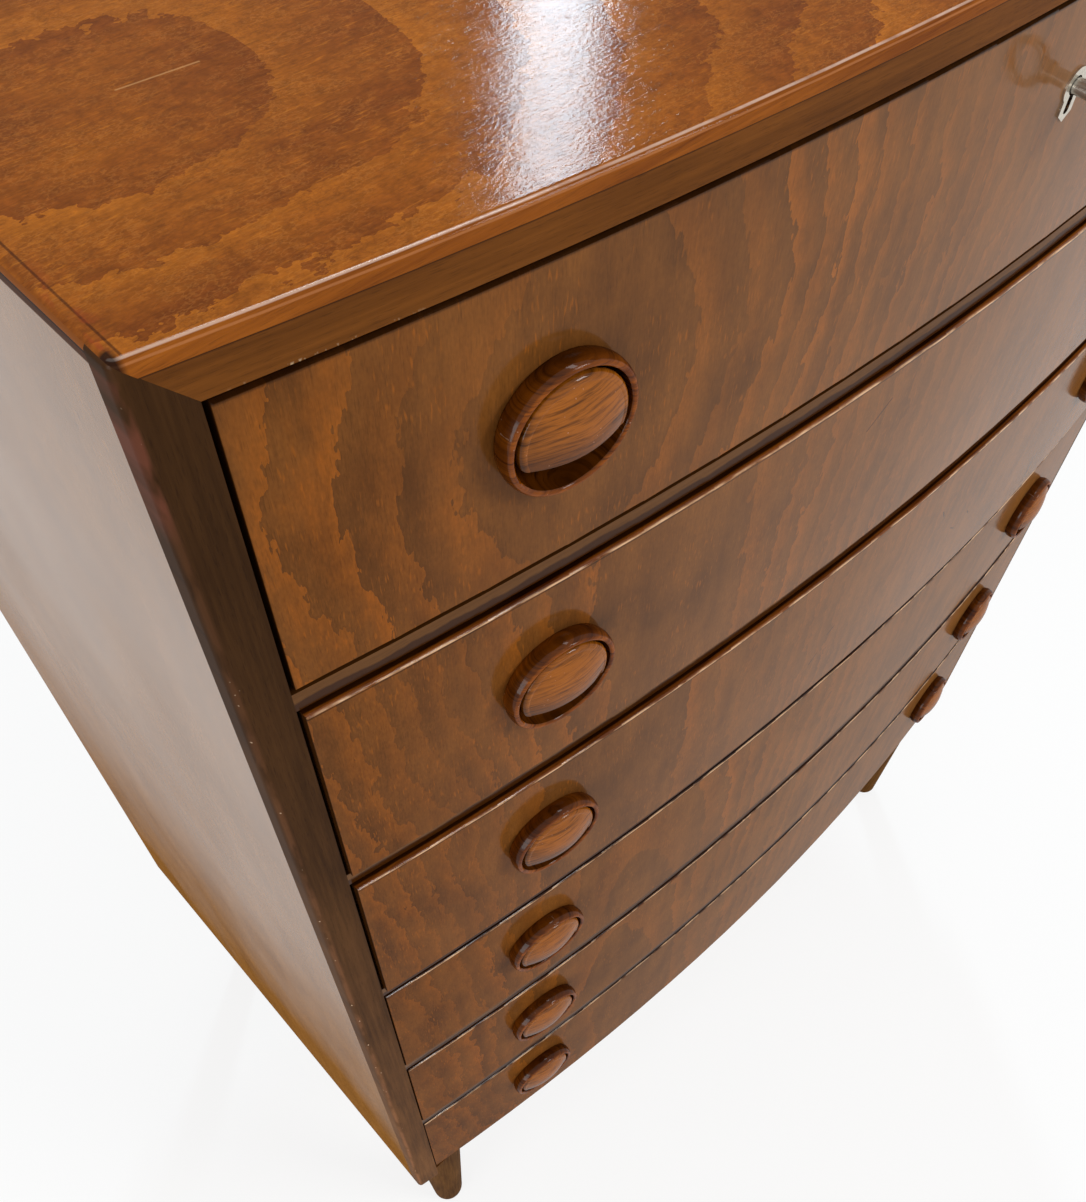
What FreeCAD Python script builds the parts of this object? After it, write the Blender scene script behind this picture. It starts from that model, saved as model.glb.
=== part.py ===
"""Tallboy: a mitred carcase on turned legs, with six bow-fronted drawers.

Lengths are in millimetres. The chest is built with the floor at z = 0, its middle at x = 0 and the
line through its two front corners at y = 0, and the front faces -Y. Each node is moved as it is
written, so that the origin ends at the bottom centre of the whole chest's box.
"""

import FreeCAD, Part
import math
import os

Vector = FreeCAD.Vector
X_AXIS = Vector(1, 0, 0)
Y_AXIS = Vector(0, 1, 0)
Z_AXIS = Vector(0, 0, 1)

# Overall size
WIDTH = 760.0
HEIGHT = 1123.0
SIDE_DEPTH = 403.0
BOW = 32.0
LEG_HEIGHT = 228.0
SKIRT_HEIGHT = 36.32

# Boards
TOP_THICKNESS = 19.3
SIDE_THICKNESS = 17.5
LIPPING_DEPTH = 10.0
BOTTOM_THICKNESS = 16.0
BACK_THICKNESS = 6.0
BACK_REBATE = 8.0
BOTTOM_HOUSING = 6.0
CORNER_ROUND = 3.6
ARRIS_ROUND = 2.6
ARRIS_HEIGHT = 6.0
ARRIS_PROUD = 0.6

# Rails, runners and stops
DRAWER_COUNT = 6
RAIL_THICKNESS = 10.5
RAIL_DEPTH = 45.0
RAIL_ROUND = 0.8
TENON_LENGTH = 8.0
TENON_INSET = 14.0
TENON_DEPTH = 24.0
RUNNER_WIDTH = 22.0
STOP_WIDTH = 30.0
STOP_DEPTH = 12.0
STOP_HEIGHT = 4.0
STOP_INSET = 130.0

# Heights of the upper five drawer spaces and of the lowest front, as shares of SPACE_HEIGHT
space_shares = (0.986, 0.999, 1.027, 0.994, 0.996)
last_front_share = 0.975

# Drawers
FRONT_THICKNESS = 20.0
FRONT_ROUND = 1.0
LAST_FRONT_COVER = 10.0
GAP_ABOVE_FRONT = 1.4
GAP_BELOW_FRONT = 1.0
GAP_BESIDE_FRONT = 1.2
BOX_SIDE_THICKNESS = 12.0
BOX_BACK_THICKNESS = 12.0
BOX_TOP_GAP = 23.4
BOX_BACK_DROP = 8.0
BOX_SIDE_GAP = 1.6
BOX_REAR_GAP = 12.0
BOX_BOTTOM_THICKNESS = 5.0
BOX_BOTTOM_RAISE = 8.0
GROOVE_DEPTH = 6.0
BACK_HOUSING = 4.0
TAIL_COUNT = 3
TAIL_LENGTH = 12.0
TAIL_FLARE = 3.0

# Width of a dovetail's root, as a share of the height that it has
tail_share = 0.49

# At rest each drawer stands out of its rails by a share of STAND_OUT, and to the right by one of SIDE_PLAY
STAND_OUT = 3.3
SIDE_PLAY = 0.8
stand_out_shares = (0.0, 0.82, 1.0, 0.3, 0.33, 0.24)
side_play_shares = (1.0, 0.375, 0.375, -0.625, -0.625, -0.875)

# Places of the screws along a runner and along a corner block
runner_screw_shares = (0.2, 0.8)
block_screw_shares = (0.35, 0.85)

# Pulls: a turned ring with a cup, and a domed lid that leaves a gap for the fingers below
PULL_INSET = 120.5
PULL_DROP = 57.0
RING_RADIUS = 26.2
RING_BASE_RADIUS = 25.0
RING_HEIGHT = 8.8
RIM_WIDTH = 2.4
RIM_RISE = 0.8
RIM_ROLL = 0.8
CUP_DEPTH = 8.0
CUP_WALL = 3.0
CUP_FLOOR_RADIUS = 15.0
SPIGOT_RADIUS = 23.0
LID_RADIUS = 21.5
LID_CROWN = 13.0
LID_SHOULDER = 9.2
LID_UNDERSIDE = 4.6
LID_ROUND = 2.6
LID_CUT = 7.8
LID_CUT_RADIUS = 150.0
LID_CORNER_ROUND = 4.5
NECK_CUT = 1.0

# How far up the ring it is widest, and how far down the cup its curved side is half way in
bulge_share = 0.55
bowl_share = 0.3

# Each drawer's pulls, as shares of PULL_INSET and PULL_DROP
pull_inset_shares = (1.009, 1.0, 1.0, 1.0, 1.0, 1.0)
pull_drop_shares = (1.035, 1.0, 1.0, 1.0, 1.0, 1.0)

# Lock, key and escutcheon of the top drawer
KEY_DROP = 60.4
KEY_REACH = 33.0
KEY_SHANK_RADIUS = 3.2
KEY_COLLAR_RADIUS = 4.4
KEY_COLLAR_LENGTH = 2.2
KEY_BOW_RADIUS = 10.0
KEY_BOW_WIRE_RADIUS = 1.9
KEY_BIT_RADIUS = 9.6
KEY_BIT_WIDTH = 5.0
KEY_BIT_THICKNESS = 2.4
LOCK_PIN_RADIUS = 1.5
LOCK_PIN_LENGTH = 9.0
LOCK_WALL = 1.2
LOCK_INSET = 9.0
LOCK_WIDTH = 46.0
LOCK_ABOVE_KEY = 26.0
LOCK_BELOW_KEY = 13.0
CHAMBER_RADIUS = 10.4
BOLT_WIDTH = 16.0
BOLT_THICKNESS = 4.0
BOLT_ABOVE_KEY = 4.3
BOLT_THROW = 6.0
MORTISE_SPARE = 1.5
KEYHOLE_RADIUS = 3.8
KEYHOLE_SLOT_WIDTH = 3.4
KEYHOLE_SLOT_LENGTH = 11.6
ESCUTCHEON_HALF_WIDTH = 4.6
ESCUTCHEON_HEAD_RADIUS = 7.0
ESCUTCHEON_POINT = 14.9
ESCUTCHEON_SHOULDER = 11.4
ESCUTCHEON_THICKNESS = 0.9

# Legs, their corner blocks and glides
LEG_TOP_RADIUS = 22.3
LEG_FOOT_RADIUS = 14.4
LEG_FOOT_ROUND = 5.0
LEG_INSET = 35.8
LEG_FRONT_PLACE = 25.7
LEG_BACK_PLACE = 32.0
LEG_SPIGOT_RADIUS = 11.0
LEG_SPIGOT_LENGTH = 28.0
BLOCK_WIDTH = 62.0
BLOCK_DEPTH = 76.0
BLOCK_FRONT_MARGIN = 1.5
GLIDE_RADIUS = 8.6
GLIDE_HEIGHT = 2.5
GLIDE_ROUND = 1.0
GLIDE_PIN_RADIUS = 1.4
GLIDE_PIN_LENGTH = 14.0

# Screws
SCREW_RADIUS = 2.0
SCREW_HEAD_RADIUS = 4.0
SCREW_HEAD_HEIGHT = 2.4
SCREW_LENGTH = 27.0
SCREW_SINK = 6.0
BACK_SCREW_LENGTH = 18.0
BACK_SCREW_HEAD_HEIGHT = 2.0
BACK_SCREW_MARGIN = 60.0
BACK_SCREW_ROWS = 5
LOCK_SCREW_RADIUS = 1.4
LOCK_SCREW_HEAD_RADIUS = 2.6
LOCK_SCREW_LENGTH = 16.0
LOCK_SCREW_PLACE = 18.0

# Clearances
SEAT_GAP = 0.3
RUN_GAP = 0.3
FIT_GAP = 0.05
HOLE_GAP = 0.1
BOLT_GAP = 0.1
OVERRUN = 5.0

# Values worked out from the sizes above
HALF_WIDTH = WIDTH / 2
INNER_HALF = HALF_WIDTH - SIDE_THICKNESS
BOW_RADIUS = (HALF_WIDTH ** 2 + BOW ** 2) / (2 * BOW)
TOP_UNDERSIDE = HEIGHT - TOP_THICKNESS
FRONT_HALF = INNER_HALF - GAP_BESIDE_FRONT
BOX_HALF = INNER_HALF - BOX_SIDE_GAP
BOX_REAR = SIDE_DEPTH - BACK_THICKNESS - BOX_REAR_GAP
FRONT_REACH = BOW + STAND_OUT * stand_out_shares[0] + KEY_REACH
ORIGIN_SHIFT = (FRONT_REACH - SIDE_DEPTH) / 2
LEG_PLACE = HALF_WIDTH - LEG_INSET
STOP_PLACE = HALF_WIDTH - STOP_INSET
LAST_FRONT_BOTTOM = LEG_HEIGHT + SKIRT_HEIGHT
SPACES = TOP_UNDERSIDE - LAST_FRONT_BOTTOM - GAP_ABOVE_FRONT
SPACE_HEIGHT = SPACES / (sum(space_shares) + last_front_share)
BOX_HEIGHT = SPACE_HEIGHT * min(space_shares) - RAIL_THICKNESS - RUN_GAP - BOX_TOP_GAP


def rail_undersides():
    """Heights of the undersides that the drawers hang below: the top's, then each rail's."""
    levels = [TOP_UNDERSIDE]
    for share in space_shares:
        levels.append(levels[-1] - SPACE_HEIGHT * share)
    return levels


UNDERSIDES = rail_undersides()
BOTTOM_TOP = LAST_FRONT_BOTTOM + LAST_FRONT_COVER
BOTTOM_UNDERSIDE = BOTTOM_TOP - BOTTOM_THICKNESS
KEY_HEIGHT = HEIGHT - KEY_DROP


def bow_y(x, inset):
    """Depth of the bowed front at the place x, moved back by inset along the bow's radius."""
    return BOW_RADIUS - BOW - math.sqrt((BOW_RADIUS - inset) ** 2 - x ** 2)


def box(x0, x1, y0, y1, z0, z1):
    """Block between two corners."""
    return Part.makeBox(x1 - x0, y1 - y0, z1 - z0, Vector(x0, y0, z0))


def cylinder(radius, length, centre, axis):
    """Cylinder that starts at centre and runs along axis."""
    return Part.makeCylinder(radius, length, centre, axis)


def line(start, end):
    """Straight edge."""
    return Part.LineSegment(start, end).toShape()


def prism(points, direction):
    """Solid swept from a polygon along direction."""
    return Part.Face(Part.makePolygon(points + points[:1])).extrude(direction)


def front_points(x0, x1, inset, z):
    """Left end, middle and right end of the bowed line between x0 and x1."""
    return [Vector(x, bow_y(x, inset), z) for x in (x0, (x0 + x1) / 2, x1)]


def bowed_plank(x0, x1, front_inset, back_inset, z0, z1):
    """Plank whose front and back both follow the bow."""
    front = front_points(x0, x1, front_inset, z0)
    back = front_points(x0, x1, back_inset, z0)
    edges = [
        Part.Arc(*front).toShape(),
        line(front[2], back[2]),
        Part.Arc(*back).toShape(),
        line(back[0], front[0]),
    ]
    return Part.Face(Part.Wire(edges)).extrude(Z_AXIS * (z1 - z0))


def bowed_board(x0, x1, front_inset, y1, z0, z1):
    """Board whose front follows the bow and whose back edge is straight, at y1."""
    front = front_points(x0, x1, front_inset, z0)
    back = [Vector(x1, y1, z0), Vector(x0, y1, z0)]
    edges = [
        Part.Arc(*front).toShape(),
        line(front[2], back[0]),
        line(back[0], back[1]),
        line(back[1], front[0]),
    ]
    return Part.Face(Part.Wire(edges)).extrude(Z_AXIS * (z1 - z0))


def joined(shapes):
    """One solid out of several that touch or overlap."""
    return shapes[0].fuse(shapes[1:]).removeSplitter()


def mirrored(shape):
    """The same shape on the other side of the chest."""
    return shape.mirror(Vector(0, 0, 0), X_AXIS)


def save(node, *shapes):
    """Writes a node: its solids, moved so that the origin is at the bottom centre of the box."""
    solids = [solid for shape in shapes for solid in shape.Solids]
    shape = solids[0] if len(solids) == 1 else Part.makeCompound(solids)
    shape = shape.copy()
    shape.translate(Y_AXIS * ORIGIN_SHIFT)
    shape.exportStep(f"parts/{node}.step")


def screw(radius, length, head_radius, head_height, seat, direction):
    """Screw whose head sits on the point seat and whose shank runs along direction."""
    shank = cylinder(radius, length, seat, direction)
    head = cylinder(head_radius, head_height, seat, direction * -1)
    return joined([shank, head])


def screw_hole(radius, length, head_radius, seat, direction, open_length):
    """Room for such a screw, with its counterbore open over open_length."""
    shank = cylinder(radius + HOLE_GAP, length + HOLE_GAP, seat, direction)
    head = cylinder(head_radius + HOLE_GAP, open_length, seat, direction * -1)
    return joined([shank, head])


def rail_heights():
    """Underside of each rail, from the top one down."""
    return UNDERSIDES[1:]


def support_heights():
    """Height that each drawer's sides run on: a rail and its runners, or the bottom panel."""
    return [z + RAIL_THICKNESS for z in rail_heights()] + [BOTTOM_TOP]


def mitre_zone():
    """Space above the two mitres, which the top fills and the sides stay out of."""
    y0 = -BOW - OVERRUN
    length = SIDE_DEPTH + BOW + OVERRUN * 2
    points = [
        Vector(-HALF_WIDTH, y0, HEIGHT),
        Vector(HALF_WIDTH, y0, HEIGHT),
        Vector(INNER_HALF, y0, TOP_UNDERSIDE),
        Vector(-INNER_HALF, y0, TOP_UNDERSIDE),
    ]
    return prism(points, Y_AXIS * length)


def lipping_blank():
    """Solid lipping of the whole front edge, before the mitres part it into band and stiles."""
    plank = rounded_lipping(0, LEG_HEIGHT, HEIGHT - ARRIS_ROUND)
    bead = rounded_lipping(-ARRIS_PROUD, HEIGHT - ARRIS_HEIGHT, HEIGHT)
    arris = [e for e in bead.Edges if is_front_arris(e, HEIGHT, LIPPING_DEPTH - FIT_GAP)]
    return joined([plank, bead.makeFillet(ARRIS_ROUND, arris)])


def board_blank():
    """Boards of the top and both sides in one, before the mitres part them, with the side arrises rounded."""
    board = bowed_board(-HALF_WIDTH, HALF_WIDTH, LIPPING_DEPTH, SIDE_DEPTH, LEG_HEIGHT, HEIGHT)
    return board.makeFillet(ARRIS_ROUND, [e for e in board.Edges if is_side_arris(e)])


def is_side_arris(edge):
    """Whether an edge lies along a side of the top's upper face."""
    middle = edge.valueAt((edge.FirstParameter + edge.LastParameter) / 2)
    points = [vertex.Point for vertex in edge.Vertexes] + [middle]
    return max(abs(p.z - HEIGHT) + abs(abs(p.x) - HALF_WIDTH) for p in points) < FIT_GAP


def rounded_lipping(inset, z0, z1):
    """Lipping between two heights, with its two outer arrises rounded."""
    plank = bowed_plank(-HALF_WIDTH, HALF_WIDTH, inset, LIPPING_DEPTH, z0, z1)
    corners = [e for e in plank.Edges if is_upright(e) and e.Vertexes[0].Y < LIPPING_DEPTH / 2]
    return plank.makeFillet(CORNER_ROUND, corners)


def is_upright(edge):
    """Whether an edge is straight and vertical."""
    ends = [vertex.Point for vertex in edge.Vertexes]
    level = abs(ends[0].x - ends[-1].x) + abs(ends[0].y - ends[-1].y)
    return len(ends) == 2 and level < FIT_GAP and abs(ends[0].z - ends[1].z) > FIT_GAP


def is_front_arris(edge, z, depth=LIPPING_DEPTH / 2):
    """Whether an edge lies at the height z, nearer to the front's face than depth."""
    middle = edge.valueAt((edge.FirstParameter + edge.LastParameter) / 2)
    ends = [vertex.Point.z for vertex in edge.Vertexes] + [middle.z]
    return max(abs(end - z) for end in ends) < FIT_GAP and middle.y < bow_y(middle.x, depth)


def rail(z):
    """Bowed rail with a tenon at each end, its underside at z."""
    body = bowed_plank(-INNER_HALF, INNER_HALF, 0, RAIL_DEPTH, z, z + RAIL_THICKNESS)
    lower = [e for e in body.Edges if is_front_arris(e, z)]
    body = body.makeFillet(RAIL_ROUND, lower)
    reach = INNER_HALF + TENON_LENGTH
    tenons = bowed_plank(-reach, reach, TENON_INSET, TENON_INSET + TENON_DEPTH, z, z + RAIL_THICKNESS)
    return joined([body, tenons])


def runner(z):
    """Strip behind the right end of a rail, that the drawer's side runs on."""
    y1 = SIDE_DEPTH - BACK_THICKNESS
    x0 = INNER_HALF - RUNNER_WIDTH
    return bowed_board(x0, INNER_HALF, RAIL_DEPTH + SEAT_GAP, y1, z, z + RAIL_THICKNESS)


def runner_screw_seats():
    """Seats of the screws of the right runners, two in each."""
    x = INNER_HALF - RUNNER_WIDTH + SCREW_SINK
    run = SIDE_DEPTH - BACK_THICKNESS - RAIL_DEPTH
    places = [RAIL_DEPTH + run * share for share in runner_screw_shares]
    return [Vector(x, y, z + RAIL_THICKNESS / 2) for z in rail_heights() for y in places]


def corner_block():
    """Block under the bottom panel at the right front corner, that carries a leg."""
    y0 = LEG_FRONT_PLACE - LEG_TOP_RADIUS - BLOCK_FRONT_MARGIN
    x0 = INNER_HALF - BLOCK_WIDTH
    return box(x0, INNER_HALF, y0, y0 + BLOCK_DEPTH, LEG_HEIGHT, BOTTOM_UNDERSIDE)


def rear_corner_block():
    """The block at the right rear corner."""
    y1 = SIDE_DEPTH - BACK_THICKNESS
    x0 = INNER_HALF - BLOCK_WIDTH
    return box(x0, INNER_HALF, y1 - BLOCK_DEPTH, y1, LEG_HEIGHT, BOTTOM_UNDERSIDE)


def leg_centres():
    """Middles of the right front and right rear leg."""
    return [(LEG_PLACE, LEG_FRONT_PLACE), (LEG_PLACE, SIDE_DEPTH - LEG_BACK_PLACE)]


def block_screw_seats():
    """Seats of the screws that hold the right two blocks up to the bottom panel."""
    z = BOTTOM_UNDERSIDE - SCREW_LENGTH + BOTTOM_THICKNESS / 2
    seats = []
    for block in (corner_block(), rear_corner_block()):
        x = block.BoundBox.XMin + SCREW_HEAD_RADIUS * 2
        places = [block.BoundBox.YMin + BLOCK_DEPTH * share for share in block_screw_shares]
        seats.extend(Vector(x, y, z) for y in places)
    return seats


def back_screw_seats():
    """Seats of the screws round the back panel."""
    y = SIDE_DEPTH - BACK_SCREW_HEAD_HEIGHT
    low = BOTTOM_TOP - BOTTOM_THICKNESS / 2
    high = TOP_UNDERSIDE - BACK_SCREW_MARGIN
    step = (high - low - BACK_SCREW_MARGIN) / (BACK_SCREW_ROWS - 1)
    x = INNER_HALF + BACK_REBATE / 2
    seats = [Vector(x, y, high - step * row) for row in range(BACK_SCREW_ROWS)]
    seats.append(Vector(INNER_HALF / 2, y, low))
    return seats


def right_side_tools():
    """Everything that is let into the right side."""
    tools = [rail(z) for z in rail_heights()]
    tools.append(bottom_blank())
    y0 = SIDE_DEPTH - BACK_THICKNESS
    tools.append(box(INNER_HALF, INNER_HALF + BACK_REBATE, y0, SIDE_DEPTH, LEG_HEIGHT, HEIGHT))
    for seat in runner_screw_seats():
        tools.append(screw_hole(SCREW_RADIUS, SCREW_LENGTH, SCREW_HEAD_RADIUS, seat, X_AXIS, SCREW_SINK))
    for seat in back_screw_seats()[:-1]:
        tools.append(back_screw_hole(seat))
    return tools


def back_screw_hole(seat):
    """Room for one screw of the back panel."""
    depth = BACK_SCREW_HEAD_HEIGHT + OVERRUN
    return screw_hole(SCREW_RADIUS, BACK_SCREW_LENGTH, SCREW_HEAD_RADIUS, seat, Y_AXIS * -1, depth)


def bottom_blank():
    """Bottom panel before its screw holes, housed in both sides."""
    reach = INNER_HALF + BOTTOM_HOUSING
    front = FRONT_THICKNESS + SEAT_GAP
    y1 = SIDE_DEPTH - BACK_THICKNESS
    return bowed_board(-reach, reach, front, y1, BOTTOM_UNDERSIDE, BOTTOM_TOP)


def back_blank():
    """Back panel before its screw holes, let into the sides and the top."""
    reach = INNER_HALF + BACK_REBATE
    z1 = TOP_UNDERSIDE + BACK_REBATE
    return box(-reach, reach, SIDE_DEPTH - BACK_THICKNESS, SIDE_DEPTH, BOTTOM_UNDERSIDE, z1)


def both_sides(vectors):
    """The given points and their mirror images."""
    return vectors + [Vector(-v.x, v.y, v.z) for v in vectors]


def make_carcase():
    """Writes the top, sides, stiles, rails, runners, stops, bottom and back."""
    zone = mitre_zone()
    blank = lipping_blank()
    whole = board_blank()
    back = back_blank()
    top = whole.common(zone).cut(back).cut(bolt_mortise())
    save("top_panel", top)
    save("top_lipping", blank.common(zone))

    right_half = box(INNER_HALF, HALF_WIDTH, -BOW, SIDE_DEPTH, LEG_HEIGHT, HEIGHT)
    stile = blank.cut(zone).common(right_half)
    side = whole.cut(zone).common(right_half).cut(right_side_tools())
    save("right_stile", stile)
    save("left_stile", mirrored(stile))
    save("right_side", side)
    save("left_side", mirrored(side))

    for number, z in enumerate(rail_heights(), start=1):
        save(f"rail_{number}", rail(z))

    holes = [
        screw_hole(SCREW_RADIUS, SCREW_LENGTH, SCREW_HEAD_RADIUS, seat, X_AXIS, SCREW_SINK)
        for seat in runner_screw_seats()
    ]
    runners = [runner(z).cut(holes) for z in rail_heights()]
    save("right_runners", *runners)
    save("left_runners", *[mirrored(strip) for strip in runners])
    save("drawer_stops", *stops())

    make_panels(back)


def stops():
    """Blocks on the rails that a drawer's front meets when it is pushed home."""
    x0 = STOP_PLACE - STOP_WIDTH / 2
    x1 = STOP_PLACE + STOP_WIDTH / 2
    y0 = bow_y(x1, FRONT_THICKNESS) + SEAT_GAP
    blocks = []
    for z in rail_heights():
        z0 = z + RAIL_THICKNESS
        block = box(x0, x1, y0, y0 + STOP_DEPTH, z0, z0 + STOP_HEIGHT)
        blocks.extend([block, mirrored(block)])
    return blocks


def make_panels(back):
    """Writes the bottom and back panels, the corner blocks and the screws of the carcase."""
    up_seats = both_sides(block_screw_seats())
    back_seats = both_sides(back_screw_seats())
    block_height = BOTTOM_UNDERSIDE - LEG_HEIGHT
    up_holes = [
        screw_hole(SCREW_RADIUS, SCREW_LENGTH, SCREW_HEAD_RADIUS, seat, Z_AXIS, block_height)
        for seat in up_seats
    ]
    back_holes = [back_screw_hole(seat) for seat in back_seats]
    save("bottom_panel", bottom_blank().cut(up_holes + back_holes))
    save("back_panel", back.cut(back_holes))

    bore_depth = LEG_SPIGOT_LENGTH + SEAT_GAP
    bores = [
        cylinder(LEG_SPIGOT_RADIUS + FIT_GAP, bore_depth, Vector(x, y, LEG_HEIGHT), Z_AXIS)
        for x, y in leg_centres()
    ]
    blocks = [block.cut(up_holes + bores) for block in (corner_block(), rear_corner_block())]
    save("corner_blocks", *blocks, *[mirrored(block) for block in blocks])

    right = [
        screw(SCREW_RADIUS, SCREW_LENGTH, SCREW_HEAD_RADIUS, SCREW_HEAD_HEIGHT, seat, X_AXIS)
        for seat in runner_screw_seats()
    ]
    upright = [
        screw(SCREW_RADIUS, SCREW_LENGTH, SCREW_HEAD_RADIUS, SCREW_HEAD_HEIGHT, seat, Z_AXIS)
        for seat in up_seats
    ]
    save("carcase_screws", *right, *[mirrored(one) for one in right], *upright)
    backs = [
        screw(SCREW_RADIUS, BACK_SCREW_LENGTH, SCREW_HEAD_RADIUS, BACK_SCREW_HEAD_HEIGHT, seat, Y_AXIS * -1)
        for seat in back_seats
    ]
    save("back_screws", *backs)


def leg():
    """Turned leg about the Z axis, standing on its glide, with a spigot at its top."""
    low = GLIDE_HEIGHT
    turn = LEG_FOOT_ROUND
    turn_start = Vector(LEG_FOOT_RADIUS - turn, 0, low)
    turn_end = Vector(LEG_FOOT_RADIUS, 0, low + turn)
    diagonal = turn * math.sqrt(1 / 2)
    turn_middle = Vector(turn_start.x + diagonal, 0, turn_end.z - diagonal)
    shoulder = Vector(LEG_TOP_RADIUS, 0, LEG_HEIGHT)
    neck = Vector(LEG_SPIGOT_RADIUS, 0, LEG_HEIGHT)
    tip = Vector(LEG_SPIGOT_RADIUS, 0, LEG_HEIGHT + LEG_SPIGOT_LENGTH)
    axis_top = Vector(0, 0, LEG_HEIGHT + LEG_SPIGOT_LENGTH)
    axis_low = Vector(0, 0, low)
    edges = [
        line(axis_low, turn_start),
        Part.Arc(turn_start, turn_middle, turn_end).toShape(),
        line(turn_end, shoulder),
        line(shoulder, neck),
        line(neck, tip),
        line(tip, axis_top),
        line(axis_top, axis_low),
    ]
    turned = Part.Face(Part.Wire(edges)).revolve(Vector(0, 0, 0), Z_AXIS, 360)
    pin_hole = cylinder(GLIDE_PIN_RADIUS + FIT_GAP, GLIDE_PIN_LENGTH + SEAT_GAP, axis_low, Z_AXIS)
    return turned.cut(pin_hole)


def glide():
    """Round glide under a foot, with its pin."""
    disc = cylinder(GLIDE_RADIUS, GLIDE_HEIGHT, Vector(0, 0, 0), Z_AXIS)
    low = [e for e in disc.Edges if e.BoundBox.ZMax < FIT_GAP]
    disc = disc.makeFillet(GLIDE_ROUND, low)
    pin = cylinder(GLIDE_PIN_RADIUS, GLIDE_PIN_LENGTH, Vector(0, 0, GLIDE_HEIGHT), Z_AXIS)
    return joined([disc, pin])


def make_legs():
    """Writes the four legs and their glides."""
    places = {}
    for (x, y), depth in zip(leg_centres(), ("front", "rear")):
        places[f"right_{depth}_leg"] = Vector(x, y, 0)
        places[f"left_{depth}_leg"] = Vector(-x, y, 0)
    glides = []
    for node, place in places.items():
        save(node, leg().translated(place))
        glides.append(glide().translated(place))
    save("leg_glides", *glides)


def rest_move(index):
    """How far a drawer stands from its place pushed home and centred, at rest."""
    return Vector(SIDE_PLAY * side_play_shares[index], -STAND_OUT * stand_out_shares[index], 0)


def drawer_levels(index):
    """Lower and upper edge of a drawer's front, and the height that its box runs on."""
    high = UNDERSIDES[index] - GAP_ABOVE_FRONT
    support = support_heights()[index]
    if index == DRAWER_COUNT - 1:
        return LAST_FRONT_BOTTOM, high, support
    return support + GAP_BELOW_FRONT, high, support


def drawer_bottom(low):
    """Thin bottom, grooved into the front and the sides, under the back."""
    reach = BOX_HALF - BOX_SIDE_THICKNESS + GROOVE_DEPTH
    inset = FRONT_THICKNESS - GROOVE_DEPTH + SEAT_GAP
    z = low + BOX_BOTTOM_RAISE
    return bowed_board(-reach, reach, inset, BOX_REAR, z, z + BOX_BOTTOM_THICKNESS)


def front_groove(low):
    """Groove for the bottom along the inside of the front."""
    inset = FRONT_THICKNESS - GROOVE_DEPTH
    z = low + BOX_BOTTOM_RAISE
    return bowed_board(-BOX_HALF, BOX_HALF, inset, BOX_REAR, z, z + BOX_BOTTOM_THICKNESS)


def drawer_back(low):
    """Back board of a drawer, housed in its sides and standing on its bottom."""
    reach = BOX_HALF - BOX_SIDE_THICKNESS + BACK_HOUSING
    z0 = low + BOX_BOTTOM_RAISE + BOX_BOTTOM_THICKNESS
    return box(-reach, reach, BOX_REAR - BOX_BACK_THICKNESS, BOX_REAR, z0, low + BOX_HEIGHT - BOX_BACK_DROP)


def tails(low):
    """Dovetails at the front end of the right side."""
    root = bow_y(BOX_HALF, FRONT_THICKNESS)
    x0 = BOX_HALF - BOX_SIDE_THICKNESS
    tip = bow_y(x0, FRONT_THICKNESS) - TAIL_LENGTH
    step = BOX_HEIGHT / TAIL_COUNT
    shapes = []
    for number in range(TAIL_COUNT):
        z = low + step * (number + 1 / 2)
        half_root = step * tail_share / 2
        half_tip = half_root + TAIL_FLARE
        points = [
            Vector(x0, tip, z - half_tip),
            Vector(x0, tip, z + half_tip),
            Vector(x0, root, z + half_root),
            Vector(x0, root + OVERRUN, z + half_root),
            Vector(x0, root + OVERRUN, z - half_root),
            Vector(x0, root, z - half_root),
        ]
        shapes.append(prism(points, X_AXIS * BOX_SIDE_THICKNESS))
    return shapes


def drawer_side(low, front, bottom, back):
    """Right side of a drawer, dovetailed into the front."""
    x0 = BOX_HALF - BOX_SIDE_THICKNESS
    y0 = bow_y(x0, FRONT_THICKNESS) - TAIL_LENGTH / 2
    blank = box(x0, BOX_HALF, y0, BOX_REAR, low, low + BOX_HEIGHT).cut(front)
    return joined([blank] + tails(low)).cut([bottom, back])


def front_blank(z0, z1):
    """Bowed front of a drawer with its outer edges eased."""
    board = bowed_plank(-FRONT_HALF, FRONT_HALF, 0, FRONT_THICKNESS, z0, z1)
    outer = [e for e in board.Edges if is_on_face(e)]
    return board.makeFillet(FRONT_ROUND, outer)


def is_on_face(edge):
    """Whether an edge lies on the outer face of a drawer's front."""
    middle = edge.valueAt((edge.FirstParameter + edge.LastParameter) / 2)
    points = [vertex.Point for vertex in edge.Vertexes] + [middle]
    return all(abs(point.y - bow_y(point.x, 0)) < FIT_GAP for point in points)


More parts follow.
